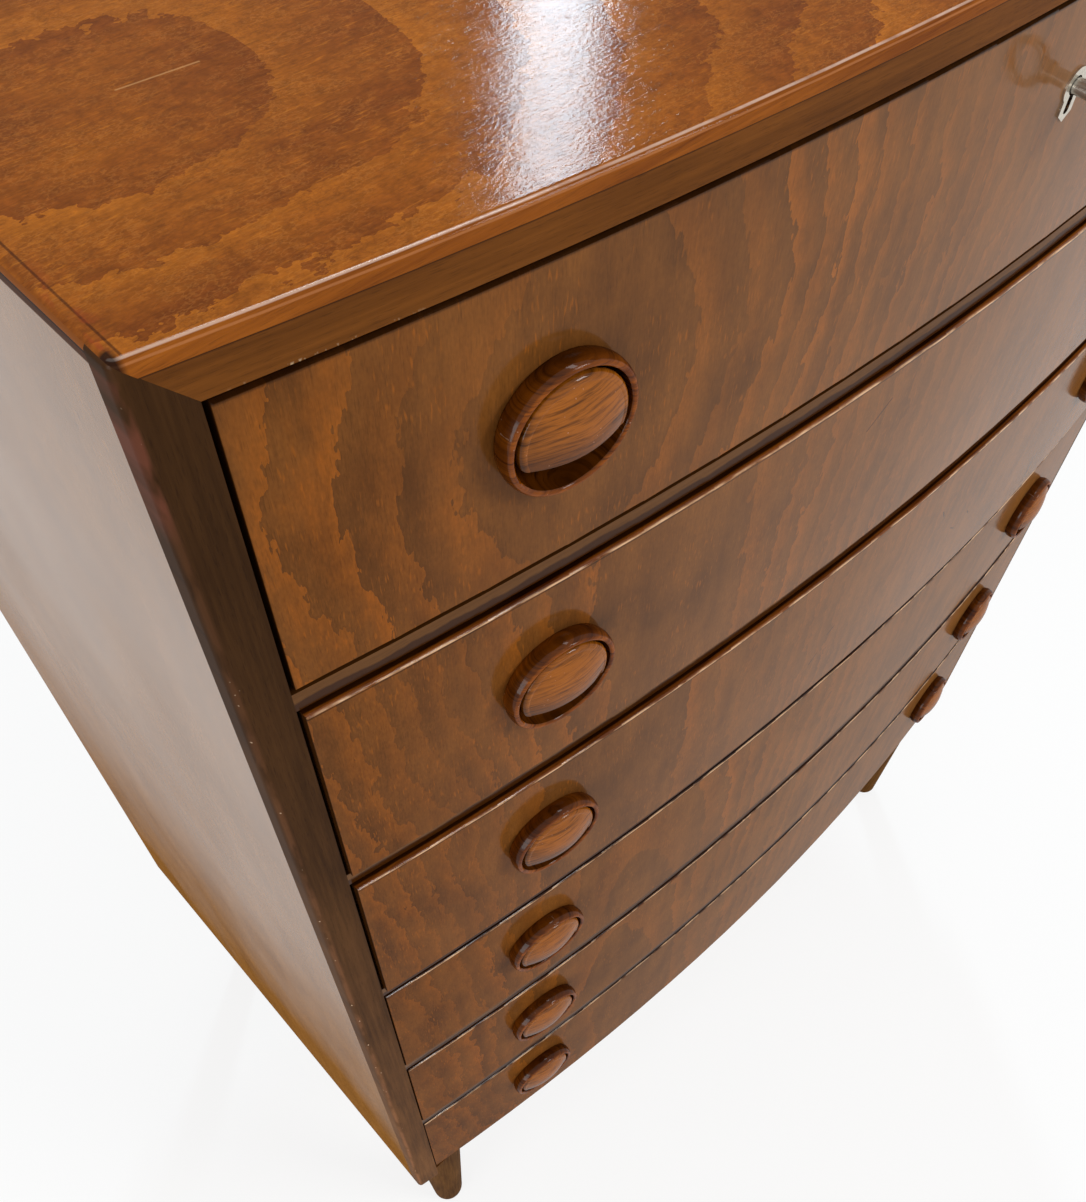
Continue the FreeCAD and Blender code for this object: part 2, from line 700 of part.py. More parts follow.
def pull_ring():
    """Turned ring and cup about the Y axis, its seat at y = 0 and its rim towards -Y."""
    shoulder = RING_RADIUS - RIM_ROLL
    inner = shoulder - RIM_WIDTH
    rim_y = RIM_RISE - RING_HEIGHT
    spigot_y = CUP_DEPTH + CUP_WALL
    bowl_middle = inner - (inner - CUP_FLOOR_RADIUS) * bowl_share
    edges = [
        line(Vector(0, CUP_DEPTH, 0), Vector(0, spigot_y, 0)),
        line(Vector(0, spigot_y, 0), Vector(SPIGOT_RADIUS, spigot_y, 0)),
        line(Vector(SPIGOT_RADIUS, spigot_y, 0), Vector(SPIGOT_RADIUS, 0, 0)),
        line(Vector(SPIGOT_RADIUS, 0, 0), Vector(RING_BASE_RADIUS, 0, 0)),
        Part.Arc(
            Vector(RING_BASE_RADIUS, 0, 0),
            Vector(RING_RADIUS, -RING_HEIGHT * bulge_share, 0),
            Vector(shoulder, rim_y, 0),
        ).toShape(),
        Part.Arc(
            Vector(shoulder, rim_y, 0),
            Vector((shoulder + inner) / 2, -RING_HEIGHT, 0),
            Vector(inner, rim_y, 0),
        ).toShape(),
        Part.Arc(
            Vector(inner, rim_y, 0),
            Vector(bowl_middle, CUP_DEPTH * bowl_share, 0),
            Vector(CUP_FLOOR_RADIUS, CUP_DEPTH, 0),
        ).toShape(),
        line(Vector(CUP_FLOOR_RADIUS, CUP_DEPTH, 0), Vector(0, CUP_DEPTH, 0)),
    ]
    return Part.Face(Part.Wire(edges)).revolve(Vector(0, 0, 0), Y_AXIS, 360)


def pull_lid():
    """Domed lid with its neck down to the floor of the cup, and a cut below for the fingers."""
    rim = LID_RADIUS - LID_ROUND
    under = Vector(rim, -LID_UNDERSIDE, 0)
    shoulder = Vector(rim, -LID_SHOULDER, 0)
    crown = Vector(0, -LID_CROWN, 0)
    crown_middle = Vector(rim / 2, shoulder.y / 4 + crown.y * 3 / 4, 0)
    edges = [
        line(Vector(0, under.y, 0), under),
        Part.Arc(under, Vector(LID_RADIUS, (under.y + shoulder.y) / 2, 0), shoulder).toShape(),
        Part.Arc(shoulder, crown_middle, crown).toShape(),
        line(crown, Vector(0, under.y, 0)),
    ]
    dome = Part.Face(Part.Wire(edges)).revolve(Vector(0, 0, 0), Y_AXIS, 360)
    dome = dome.common(lid_outline())
    neck_radius = CUP_FLOOR_RADIUS - SEAT_GAP
    neck = cylinder(neck_radius, CUP_DEPTH + LID_UNDERSIDE, Y_AXIS * CUP_DEPTH, Y_AXIS * -1)
    upper = box(-neck_radius, neck_radius, -LID_UNDERSIDE, CUP_DEPTH, -NECK_CUT, neck_radius)
    return joined([dome, neck.common(upper)])


def lid_outline():
    """Round outline cut off below by a gentle curve, with rounded corners, through the lid's depth."""
    disc = cylinder(LID_RADIUS + FIT_GAP, LID_CROWN, Vector(0, 0, 0), Y_AXIS * -1)
    centre = Vector(0, 0, LID_CUT_RADIUS - LID_CUT)
    outline = disc.common(cylinder(LID_CUT_RADIUS, LID_CROWN, centre, Y_AXIS * -1))
    corners = [e for e in outline.Edges if is_corner(e)]
    return outline.makeFillet(LID_CORNER_ROUND, corners)


def is_corner(edge):
    """Whether an edge runs through the lid's depth at one of its two corners."""
    ends = [vertex.Point for vertex in edge.Vertexes]
    return ends[0].z < 0 and ends[-1].z < 0 and abs(ends[0].y - ends[-1].y) > LID_CROWN / 2


def on_front(shape, x, z):
    """A shape made at the origin, set square on the bowed face at the place x and height z."""
    angle = math.degrees(math.asin(x / BOW_RADIUS))
    placed = shape.copy()
    placed.rotate(Vector(0, 0, 0), Z_AXIS, angle)
    placed.translate(Vector(x, bow_y(x, 0), z))
    return placed


def keyhole(radius, slot_width, slot_length, y0, y1):
    """Round hole with a slot below it, through the depth from y0 to y1."""
    barrel = cylinder(radius, y1 - y0, Vector(0, y0, KEY_HEIGHT), Y_AXIS)
    half = slot_width / 2
    z0 = KEY_HEIGHT - slot_length + half
    slot = box(-half, half, y0, y1, z0, KEY_HEIGHT)
    end = cylinder(half, y1 - y0, Vector(0, y0, z0), Y_AXIS)
    return joined([barrel, slot, end])


def lock_box():
    """Outline of the lock's case, let into the back of the top drawer's front."""
    y0 = LOCK_INSET - BOW
    y1 = FRONT_THICKNESS - BOW
    half = LOCK_WIDTH / 2
    return box(-half, half, y0, y1, KEY_HEIGHT - LOCK_BELOW_KEY, KEY_HEIGHT + LOCK_ABOVE_KEY)


def bolt_space(extra, top):
    """Block that the bolt fills or slides in, from its lower end up to the height top."""
    y0 = bolt_y() - extra
    half = BOLT_WIDTH / 2 + extra
    low = KEY_HEIGHT + BOLT_ABOVE_KEY - extra
    return box(-half, half, y0, y0 + BOLT_THICKNESS + extra * 2, low, top)


def bolt_y():
    """Front face of the bolt."""
    return LOCK_INSET - BOW + LOCK_WALL + (KEY_BIT_WIDTH - BOLT_THICKNESS) / 2 + LOCK_WALL / 2


def bolt_top():
    """Top of the bolt while the lock is open, just under the upper edge of the front."""
    return drawer_levels(0)[1] - SEAT_GAP


def bolt_mortise():
    """Slot in the underside of the top that the bolt rises into."""
    return bolt_space(BOLT_GAP * 2, bolt_top() + BOLT_THROW + MORTISE_SPARE).translated(rest_move(0))


def lock_case():
    """Case of the lock, with the chamber that the bit turns in and the pin that the key turns on."""
    case = lock_box()
    y0 = LOCK_INSET - BOW + LOCK_WALL
    y1 = FRONT_THICKNESS - BOW - LOCK_WALL
    chamber = cylinder(CHAMBER_RADIUS, y1 - y0, Vector(0, y0, KEY_HEIGHT), Y_AXIS)
    hole = keyhole(KEYHOLE_RADIUS, KEYHOLE_SLOT_WIDTH, KEYHOLE_SLOT_LENGTH, y0 - OVERRUN, y0 + FIT_GAP)
    case = case.cut([chamber, hole, bolt_space(BOLT_GAP, HEIGHT)])
    pin = cylinder(LOCK_PIN_RADIUS, LOCK_PIN_LENGTH, Vector(0, y1 + LOCK_WALL / 2, KEY_HEIGHT), Y_AXIS * -1)
    return joined([case, pin]).cut(lock_screw_tools())


def lock_screw_seats():
    """Seats of the two screws that hold the lock's case in the front."""
    y = FRONT_THICKNESS - BOW - LOCK_WALL
    z = KEY_HEIGHT + (LOCK_ABOVE_KEY - LOCK_BELOW_KEY) / 2
    return [Vector(x, y, z) for x in (-LOCK_SCREW_PLACE, LOCK_SCREW_PLACE)]


def lock_screw_tools():
    """Room for the lock's screws."""
    return [
        screw_hole(LOCK_SCREW_RADIUS, LOCK_SCREW_LENGTH, LOCK_SCREW_HEAD_RADIUS, seat, Y_AXIS * -1, OVERRUN)
        for seat in lock_screw_seats()
    ]


def key():
    """Key: shank with a bored end, collar, round bow and bit."""
    inner = bolt_y() + BOLT_THICKNESS + LOCK_WALL
    outer = KEY_BOW_RADIUS * 2 - KEY_REACH - BOW
    start = Vector(0, inner, KEY_HEIGHT)
    shank = cylinder(KEY_SHANK_RADIUS, inner - outer, start, Y_AXIS * -1)
    neck = cylinder(KEY_BOW_WIRE_RADIUS, KEY_BOW_WIRE_RADIUS, Vector(0, outer, KEY_HEIGHT), Y_AXIS * -1)
    collar = cylinder(KEY_COLLAR_RADIUS, KEY_COLLAR_LENGTH, Vector(0, outer, KEY_HEIGHT), Y_AXIS)
    bit_y = bolt_y() - (KEY_BIT_WIDTH - BOLT_THICKNESS) / 2
    half = KEY_BIT_THICKNESS / 2
    low = KEY_HEIGHT - KEY_BIT_RADIUS
    bit = box(-half, half, bit_y, bit_y + KEY_BIT_WIDTH, low, KEY_HEIGHT)
    bore = cylinder(LOCK_PIN_RADIUS + FIT_GAP, LOCK_PIN_LENGTH + FIT_GAP, start, Y_AXIS * -1)
    return joined([shank, neck, collar, bit, key_bow()]).cut(bore)


def key_bow():
    """Round ring that the fingers hold."""
    centre = Vector(0, KEY_BOW_RADIUS - KEY_REACH - BOW, KEY_HEIGHT)
    return Part.makeTorus(KEY_BOW_RADIUS - KEY_BOW_WIRE_RADIUS, KEY_BOW_WIRE_RADIUS, centre, X_AXIS)


def escutcheon():
    """Thin plate round the keyhole, with a pointed lower tip."""
    y1 = -BOW
    y0 = y1 - ESCUTCHEON_THICKNESS
    half = ESCUTCHEON_HALF_WIDTH
    head = cylinder(ESCUTCHEON_HEAD_RADIUS, ESCUTCHEON_THICKNESS, Vector(0, y0, KEY_HEIGHT), Y_AXIS)
    points = [
        Vector(-half, y0, KEY_HEIGHT),
        Vector(half, y0, KEY_HEIGHT),
        Vector(half, y0, KEY_HEIGHT - ESCUTCHEON_SHOULDER),
        Vector(0, y0, KEY_HEIGHT - ESCUTCHEON_POINT),
        Vector(-half, y0, KEY_HEIGHT - ESCUTCHEON_SHOULDER),
    ]
    tail = prism(points, Y_AXIS * ESCUTCHEON_THICKNESS)
    hole = keyhole(KEYHOLE_RADIUS, KEYHOLE_SLOT_WIDTH, KEYHOLE_SLOT_LENGTH, y0 - OVERRUN, y1 + OVERRUN)
    return joined([head, tail]).cut(hole)


def lock_tools():
    """Everything that is cut out of the top drawer's front for the lock."""
    y0 = -BOW - OVERRUN
    y1 = LOCK_INSET - BOW + OVERRUN
    hole = keyhole(KEYHOLE_RADIUS, KEYHOLE_SLOT_WIDTH, KEYHOLE_SLOT_LENGTH, y0, y1)
    return [lock_box(), hole, bolt_space(BOLT_GAP, HEIGHT)] + lock_screw_tools()


def make_drawer(index):
    """Writes one drawer: front, box, bottom, pull rings and pull lids."""
    z0, z1, support = drawer_levels(index)
    low = support + RUN_GAP
    blank = front_blank(z0, z1)
    bottom = drawer_bottom(low)
    back = drawer_back(low)
    side = drawer_side(low, blank, bottom, back)
    left = mirrored(side)
    groove = front_groove(low)
    pull_height = z1 - PULL_DROP * pull_drop_shares[index]
    pull_place = HALF_WIDTH - PULL_INSET * pull_inset_shares[index]
    socket_depth = CUP_DEPTH + CUP_WALL + SEAT_GAP + OVERRUN
    socket = cylinder(SPIGOT_RADIUS + FIT_GAP, socket_depth, Y_AXIS * -OVERRUN, Y_AXIS)
    places = (-pull_place, pull_place)
    sockets = [on_front(socket, x, pull_height) for x in places]
    front = blank.cut([side, left, groove] + sockets)
    if index == 0:
        front = front.cut(lock_tools())
    seats = blank.cut(sockets)
    rings = [on_front(pull_ring(), x, pull_height).cut(seats) for x in places]
    lids = [on_front(pull_lid(), x, pull_height) for x in places]

    move = rest_move(index)
    name = f"drawer_{index + 1}"
    save(f"{name}_front", front.translated(move))
    save(f"{name}_box", *[part.translated(move) for part in (side, left, back)])
    save(f"{name}_bottom", bottom.translated(move))
    save(f"{name}_pull_rings", *[ring.translated(move) for ring in rings])
    save(f"{name}_pull_lids", *[lid.translated(move) for lid in lids])


def make_lock():
    """Writes the lock, its screws, the key and the escutcheon, on the top drawer."""
    move = rest_move(0)
    screws = [
        screw(LOCK_SCREW_RADIUS, LOCK_SCREW_LENGTH, LOCK_SCREW_HEAD_RADIUS, LOCK_WALL, seat, Y_AXIS * -1)
        for seat in lock_screw_seats()
    ]
    save("lock_case", lock_case().translated(move))
    save("lock_bolt", bolt_space(0, bolt_top()).translated(move))
    save("lock_screws", *[one.translated(move) for one in screws])
    save("key", key().translated(move))
    save("escutcheon", escutcheon().translated(move))


os.makedirs("parts", exist_ok=True)
make_carcase()
make_legs()
for drawer in range(DRAWER_COUNT):
    make_drawer(drawer)
make_lock()
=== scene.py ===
"""Looks of the tallboy: lacquered figured veneer, turned pulls, lock and key, on a pale floor.

Everything is in metres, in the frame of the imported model: the floor is z = 0, the drawers face -Y.
Each material works from a point's place in that frame. Noise rates are in cells per metre, across
the grain and then along it, and a seed picks one pattern among many.
"""

import bpy
import math
from mathutils import Matrix, Vector


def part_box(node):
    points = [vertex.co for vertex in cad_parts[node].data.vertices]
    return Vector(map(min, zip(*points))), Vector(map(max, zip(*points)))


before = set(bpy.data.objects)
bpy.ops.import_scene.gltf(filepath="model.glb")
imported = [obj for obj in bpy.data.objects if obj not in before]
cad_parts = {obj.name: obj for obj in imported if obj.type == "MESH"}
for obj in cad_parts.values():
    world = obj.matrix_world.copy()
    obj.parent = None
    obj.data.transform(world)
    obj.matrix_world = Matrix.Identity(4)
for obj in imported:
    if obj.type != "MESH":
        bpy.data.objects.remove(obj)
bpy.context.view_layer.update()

# The photograph's frame, and the camera that it was taken with
IMAGE_WIDTH = 1086
IMAGE_HEIGHT = 1202
FOCAL_PIXELS = 1166.08
CENTRE_PIXEL = (577.30, 662.48)
CAMERA_PLACE = Vector((-0.44728, -0.37904, 1.29842))
CAMERA_HEADING = 0.8151
CAMERA_PITCH = 0.9641
CAMERA_ROLL = 0.0593
SENSOR_WIDTH = 36.0
NEAREST_SEEN = 0.01

ALL_DRAWERS = range(1, 7)
ALL_RAILS = range(1, 6)

# Places on the object that its materials follow
FRONT_LEFT = -0.34      # where the fronts' lacquer is at its dullest and their painted sheen at its weakest, along x
FRONT_MIDDLE = 0.0
SEAM_PLACE = 0.3756     # line where the top's veneer ends by the sides, from the middle
BEAD_FOOT = 1.1170      # height of the bead's lower edge round the top
ARRIS_FOOT = 1.1202     # height at which the top's rounded arris ends
BOW_RADIUS = 2.2722     # of the bowed front, in plan
BOW_CENTRE = 2.0712     # the same circle's centre, along y
CORNER_SIDE = 0.3758    # where the dark front corners of the top begin, from the middle
CORNER_FRONT = -0.1640  # and along y
CHIPS_PLACE = -0.328    # small chips on the top's lower front edge, along x
STILE_FOOT = 0.25       # painted light: the stiles are painted darker from here up to their head
STILE_HEAD = 1.10
RED_WEAR_FROM = 1.060   # and their outer arris is worn red between these heights
RED_WEAR_TO = 1.118
LIGHT_WOOD_FROM = 0.3   # the sides' veneer is lightest below this height
LIGHT_WOOD_TO = 0.9


def linear(red, green, blue):
    """Linear colour from the usual 0 to 255 screen values."""
    return tuple((v / 255) ** 2.2 for v in (red, green, blue)) + (1.0,)


# Colours of the woods: dark and light, or dark, plain and warm
FRONT_COLOURS = (linear(82, 48, 22), linear(120, 73, 32), linear(160, 88, 26))
TOP_COLOURS = (linear(112, 58, 22), linear(142, 78, 24), linear(178, 104, 32))
SIDE_COLOURS = (linear(116, 78, 40), linear(134, 92, 48), linear(148, 102, 56))
BAND_COLOURS = (linear(90, 52, 18), linear(118, 70, 26))
BEAD_COLOURS = (linear(112, 58, 18), linear(156, 88, 28))
SIDE_BEAD_COLOURS = (linear(58, 34, 18), linear(84, 50, 28))
STILE_COLOURS = (linear(52, 33, 16), linear(76, 50, 27))
LEDGE_COLOURS = (linear(84, 40, 12), linear(146, 82, 30))
RAIL_COLOURS = (linear(92, 58, 24), linear(112, 74, 38))
LEG_COLOURS = (linear(78, 50, 23), linear(114, 77, 39))
BOX_COLOURS = (linear(170, 132, 90), linear(204, 168, 122))
PLY_COLOURS = (linear(168, 122, 80), linear(196, 152, 106))
RAW_COLOURS = (linear(120, 86, 54), linear(156, 116, 76))
BACK_COLOURS = (linear(128, 88, 56), linear(160, 116, 76))
BLOCK_COLOURS = (linear(62, 38, 18), linear(92, 58, 30))
RING_COLOURS = (linear(52, 22, 4), linear(98, 48, 9), linear(142, 76, 18))
LID_COLOURS = (linear(40, 19, 5), linear(82, 42, 10), linear(114, 62, 15))

# Colours of marks, gaps and wear on the woods, and of the shade, sheen and highlights painted on
# them
# painted sheen on the drawer fronts
PAINTED_SHEEN = linear(186, 138, 86)
FRONT_SCRATCH = linear(40, 24, 14)
FRONT_END_SHADE = linear(54, 33, 17)
UPPER_SHADOW = linear(30, 16, 8)
# painted shade at the back of the ledges
LEDGE_BACK_SHADE = linear(16, 7, 3)
UNDER_ARRIS = linear(40, 22, 10)
# painted highlight on the fronts' arrises
ARRIS_HIGHLIGHT = linear(236, 190, 146)
RAIL_SHADOW = linear(56, 30, 10)
RAIL_TOP_SHADE = linear(66, 40, 18)
PALE_CURL_HIGHLIGHTS = linear(204, 130, 60)
DARK_CURL_REFLECTIONS = linear(92, 46, 20)
SEAM = linear(48, 22, 12)
SEAM_WEAR = linear(150, 62, 34)
TOP_SCRATCH = linear(224, 170, 110)
CHIPS = linear(190, 160, 124)
# painted shade under the bead's step
BEAD_STEP_SHADE = linear(40, 20, 8)
BEAD_HIGHLIGHT = linear(196, 130, 84)
BEAD_END = linear(60, 34, 18)
ARRIS_GLINT = linear(240, 210, 188)
CORNER = linear(20, 10, 6)
SIDE_SPECKS = linear(70, 44, 24)
SIDE_GROOVE = linear(24, 12, 6)
SIDE_ARRIS = linear(132, 76, 34)
STILE_WEAR = linear(112, 74, 50)
STILE_NICKS = linear(200, 170, 140)
STILE_RED = linear(128, 74, 58)
STILE_INNER_SHADE = linear(16, 9, 5)
# painted highlight across the lids
LID_HIGHLIGHT = linear(184, 106, 32)
PULL_NICKS = linear(190, 140, 110)

WHITE = (1.0, 1.0, 1.0, 1.0)


class Graph:
    """Short calls that add nodes to one material and join them."""

    def __init__(self, name):
        self.material = bpy.data.materials.new(name)
        self.material.use_nodes = True
        self.tree = self.material.node_tree
        self.tree.nodes.clear()
        self.shader = self.tree.nodes.new("ShaderNodeBsdfPrincipled")
        self.output = self.tree.nodes.new("ShaderNodeOutputMaterial")
        self.tree.links.new(self.shader.outputs["BSDF"], self.output.inputs["Surface"])
        place = self.tree.nodes.new("ShaderNodeTexCoord")
        self.x, self.y, self.z = self.parts(place.outputs["Object"])
        self.facing = self.parts(place.outputs["Normal"])

    def parts(self, vector):
        """The three numbers of a vector."""
        split = self.tree.nodes.new("ShaderNodeSeparateXYZ")
        self.tree.links.new(vector, split.inputs[0])
        return split.outputs

    def put(self, socket, value):
        """Joins a socket to a node's output, or sets its value."""
        if isinstance(value, bpy.types.NodeSocket):
            self.tree.links.new(value, socket)
        else:
            socket.default_value = value

    def math(self, operation, a, b=0.0):
        node = self.tree.nodes.new("ShaderNodeMath")
        node.operation = operation
        for socket, value in zip(node.inputs, (a, b)):
            self.put(socket, value)
        return node.outputs[0]

    def add(self, *values):
        total = values[0]
        for value in values[1:]:
            total = self.math("ADD", total, value)
        return total

    def sub(self, a, b):
        return self.math("SUBTRACT", a, b)

    def mul(self, *values):
        product = values[0]
        for value in values[1:]:
            product = self.math("MULTIPLY", product, value)
        return product

    def power(self, a, b):
        return self.math("POWER", a, b)

    def size(self, value):
        return self.math("ABSOLUTE", value)

    def span(self, value, low, high, to_low=0.0, to_high=1.0):
        """Value carried from one range to another, and held inside it."""
        node = self.tree.nodes.new("ShaderNodeMapRange")
        for socket, number in zip(node.inputs, (value, low, high, to_low, to_high)):
            self.put(socket, number)
        return node.outputs[0]

    def line(self, value, place, width):
        """One at a place, falling to zero a width away on both sides."""
        return self.span(self.size(self.sub(value, place)), width * 0.4, width, 1.0, 0.0)

    def join(self, a, b, c=0.0):
        """Vector from three numbers."""
        node = self.tree.nodes.new("ShaderNodeCombineXYZ")
        for socket, value in zip(node.inputs, (a, b, c)):
            self.put(socket, value)
        return node.outputs[0]

    def field(self, across, along, rates, seed, detail=2.0, roughness=0.5):
        """Soft noise from 0 to 1."""
        noise = self.tree.nodes.new("ShaderNodeTexNoise")
        place = self.join(self.mul(across, rates[0]), self.mul(along, rates[1]), seed)
        self.tree.links.new(place, noise.inputs["Vector"])
        noise.inputs["Scale"].default_value = 1.0
        noise.inputs["Detail"].default_value = detail
        noise.inputs["Roughness"].default_value = roughness
        return noise.outputs["Fac"]

    def swing(self, across, along, rates, seed, amount, detail=2.0):
        """The same noise about zero, times amount."""
        return self.mul(self.sub(self.field(across, along, rates, seed, detail), 0.5), amount)

    def random(self, value):
        """One random number from 0 to 1 for each value."""
        node = self.tree.nodes.new("ShaderNodeTexWhiteNoise")
        node.noise_dimensions = "1D"
        self.put(node.inputs["W"], value)
        return node.outputs["Value"]

    def vector(self, operation, a, b=None, scale=None):
        node = self.tree.nodes.new("ShaderNodeVectorMath")
        node.operation = operation
        self.put(node.inputs[0], a)
        if b is not None:
            self.put(node.inputs[1], b)
        if scale is not None:
            self.put(node.inputs["Scale"], scale)
        is_number = operation in ("DOT_PRODUCT", "DISTANCE")
        return node.outputs["Value" if is_number else "Vector"]

    def scratch(self, across, along, start, end, width):
        """One on a short straight mark between two places, zero beyond its width."""
        run = (end[0] - start[0], end[1] - start[1], 0.0)
        square = run[0] ** 2 + run[1] ** 2
        offset = self.vector("SUBTRACT", self.join(across, along), (start[0], start[1], 0.0))
        share = self.vector("DOT_PRODUCT", offset, tuple(v / square for v in run))
        nearest = self.vector("SCALE", run, scale=self.span(share, 0.0, 1.0))
        distance = self.vector("DISTANCE", offset, nearest)
        return self.span(distance, width * 0.3, width, 1.0, 0.0)

    def mix(self, share, first, second, blend="MIX"):
        """First colour, with a share of the second."""
        node = self.tree.nodes.new("ShaderNodeMix")
        node.data_type = "RGBA"
        node.blend_type = blend
        self.put(node.inputs[0], share)
        self.put(node.inputs[6], first)
        self.put(node.inputs[7], second)
        return node.outputs[2]

    def shade(self, colour, factor):
        """Colour times a number."""
        return self.mix(1.0, colour, self.grey(factor), "MULTIPLY")

    def grey(self, value):
        node = self.tree.nodes.new("ShaderNodeCombineColor")
        for socket in node.inputs:
            self.put(socket, value)
        return node.outputs[0]

    def bump(self, height, distance):
        """Relief under and in the lacquer: height is 0 to 1, distance is in metres."""
        node = self.tree.nodes.new("ShaderNodeBump")
        node.inputs["Distance"].default_value = distance
        self.put(node.inputs["Height"], height)
        self.tree.links.new(node.outputs[0], self.shader.inputs["Normal"])
        self.tree.links.new(node.outputs[0], self.shader.inputs["Coat Normal"])

    def finish(self, colour, roughness, coat=0.0, coat_roughness=0.1, specular=0.5, metallic=0.0):
        """Sets the shader's main values and gives the material."""
        self.put(self.shader.inputs["Base Color"], colour)
        self.put(self.shader.inputs["Roughness"], roughness)
        self.put(self.shader.inputs["Coat Weight"], coat)
        self.shader.inputs["Coat Roughness"].default_value = coat_roughness
        self.shader.inputs["Specular IOR Level"].default_value = specular
        self.shader.inputs["Metallic"].default_value = metallic
        return self.material

    def lacquered(self, colour, roughness, coat, coat_roughness):
        """The same for wood, which only its lacquer makes glossy."""
        return self.finish(colour, roughness, coat, coat_roughness, specular=0.0)


def dress(material, *nodes):
    """Gives the objects of one or more CAD nodes a material."""
    for node in nodes:
        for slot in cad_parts[node].material_slots:
            slot.material = material


# Wood. Each g is a material's Graph; the numbers added to a seed keep its patterns apart.

def pores(g, across, along, seed):
    """Short fine dark dashes along the grain, from 0 to 1."""
    return g.span(g.field(across, along, (2600.0, 170.0), seed + 0.3, 1.0), 0.58, 0.74)


def flecks(g, across, along, seed):
    """Pale short dashes along the grain, in loose clusters, from 0 to 1."""
    small = g.field(across, along, (1100.0, 150.0), seed + 5.1, 1.0)
    where = g.field(across, along, (45.0, 28.0), seed + 7.7, 2.0)
    return g.mul(g.span(small, 0.60, 0.72), g.span(where, 0.42, 0.60))


def worms(g, across, along, rates, seed):
    """Thin short curls, from 0 to 1."""
    curl = g.field(across, along, rates, seed, 2.0, 0.6)
    where = g.field(across, along, (rates[0] * 0.3, rates[1] * 0.3), seed + 1.5, 2.0)
    thin = g.span(g.size(g.sub(curl, 0.5)), 0.010, 0.055, 1.0, 0.0)
    return g.mul(thin, g.span(where, 0.40, 0.56))


def ring_phase(g, across, along, figure):
    """Which growth ring a point is in, counted outwards from the heart of the figure."""
    seed, tooth_rate = figure["seed"], figure["tooth_rate"]
    up = g.sub(along, figure["level"])
    wander = g.swing(across, along, (6.0, 3.0), seed, figure["wander"])
    waves = g.swing(across, along, (26.0, 12.0), seed + 0.5, figure["wander"] * 0.5)
    teeth = g.swing(across, along, (170.0, tooth_rate), seed + 1.0, figure["teeth"])
    hairs = g.swing(across, along, (700.0, tooth_rate * 3.0), seed + 2.0, figure["teeth"] * 0.35)
    left = g.span(g.sub(figure["heart"], across), 0.03, 0.10)
    lean = g.mul(up, figure["lean"], left)
    offset = g.add(g.sub(across, figure["heart"]), lean, wander, waves, teeth, hairs)
    depth = g.add(figure["depth"], g.mul(up, figure["tilt"]))
    height = g.mul(up, figure["closing"])
    reach = figure["reach"] ** 2
    closing = g.mul(g.math("TANH", g.mul(g.mul(height, height), 1.0 / reach)), reach)
    radius = g.math("SQRT", g.add(g.mul(offset, offset), g.mul(depth, depth), closing))
    return g.math("DIVIDE", g.sub(radius, figure["first_ring"]), figure["spacing"])


def ring_warmth(g, phase, figure):
    """How warm a ring is, most at its inner edge and fading outwards, and the dark line there."""
    part = g.math("FRACT", phase)
    number = g.math("FLOOR", phase)
    strength = g.span(g.random(g.add(number, figure["seed"])), 0.0, 1.0, 0.45, 1.0)
    warm = g.power(g.sub(1.0, part), figure["fade"])
    inside = g.span(number, -1.0, -0.5)
    return g.mul(warm, strength, inside), g.mul(g.span(part, 0.88, 0.99), strength)


def figured(g, across, along, figure, colours):
    """Colour of figured veneer; colours are dark, plain and warm."""
    seed = figure["seed"]
    dark, plain, warm = colours
    warmth, edge = ring_warmth(g, ring_phase(g, across, along, figure), figure)
    faint = g.span(g.field(across, along, (14.0, 6.0), seed + 6.0, 2.0), 0.38, 0.58, 0.45, 1.0)
    distance = g.size(g.sub(across, figure["heart"]))
    near, far = figure["near"], figure["far"]
    gate = g.mul(faint, g.span(distance, near, far, 1.0, figure["far_share"]))
    cloud = g.span(g.field(across, along, (30.0, 16.0), seed + 3.0, 5.0, 0.6), 0.34, 0.66)
    streak = g.span(g.field(across, along, (130.0, 7.0), seed + 4.0, 4.0), 0.34, 0.66)
    fibre = g.field(across, along, (1300.0, 160.0), seed + 4.5, 3.0)
    peel_sheen = g.field(across, along, (1100.0, 520.0), seed + 4.8, 1.0)
    colour = g.mix(g.add(g.mul(cloud, 0.75), g.mul(streak, 0.25)), dark, plain)
    colour = g.mix(g.mul(warmth, gate, figure["warmth"]), colour, warm)
    colour = g.mix(g.mul(edge, gate, figure["edge"]), colour, dark)
    colour = g.shade(colour, g.span(fibre, 0.3, 0.7, 0.90, 1.10))
    # painted sheen of the lacquer's orange peel
    colour = g.shade(colour, g.span(peel_sheen, 0.3, 0.7, 0.92, 1.08))
    dashes = pores(g, across, along, seed)
    colour = g.shade(colour, g.span(dashes, 0.0, 1.0, 1.0, figure["pores"]))
    return g.mix(g.mul(flecks(g, across, along, seed), figure["flecks"]), colour, warm)


def plain_grain(g, across, along, seed, colours):
    """Colour of straight grain with fine streaks; colours are dark and light."""
    broad = g.field(across, along, (90.0, 6.0), seed, 3.0)
    fine = g.field(across, along, (600.0, 20.0), seed + 1.0, 3.0)
    cloud = g.field(across, along, (18.0, 12.0), seed + 2.0, 3.0)
    share = g.add(g.mul(broad, 0.35), g.mul(fine, 0.35), g.mul(cloud, 0.3))
    colour = g.mix(g.span(share, 0.38, 0.62), colours[0], colours[1])
    return g.shade(colour, g.span(pores(g, across, along, seed), 0.0, 1.0, 1.0, 0.74))


def lacquer_height(g, across, along, seed):
    """Relief of the lacquer: small ripples drawn out along the grain, and sunk pores."""
    ripple = g.field(across, along, (520.0, 210.0), seed + 8.0, 1.5)
    return g.sub(ripple, g.mul(pores(g, across, along, seed), 0.4))


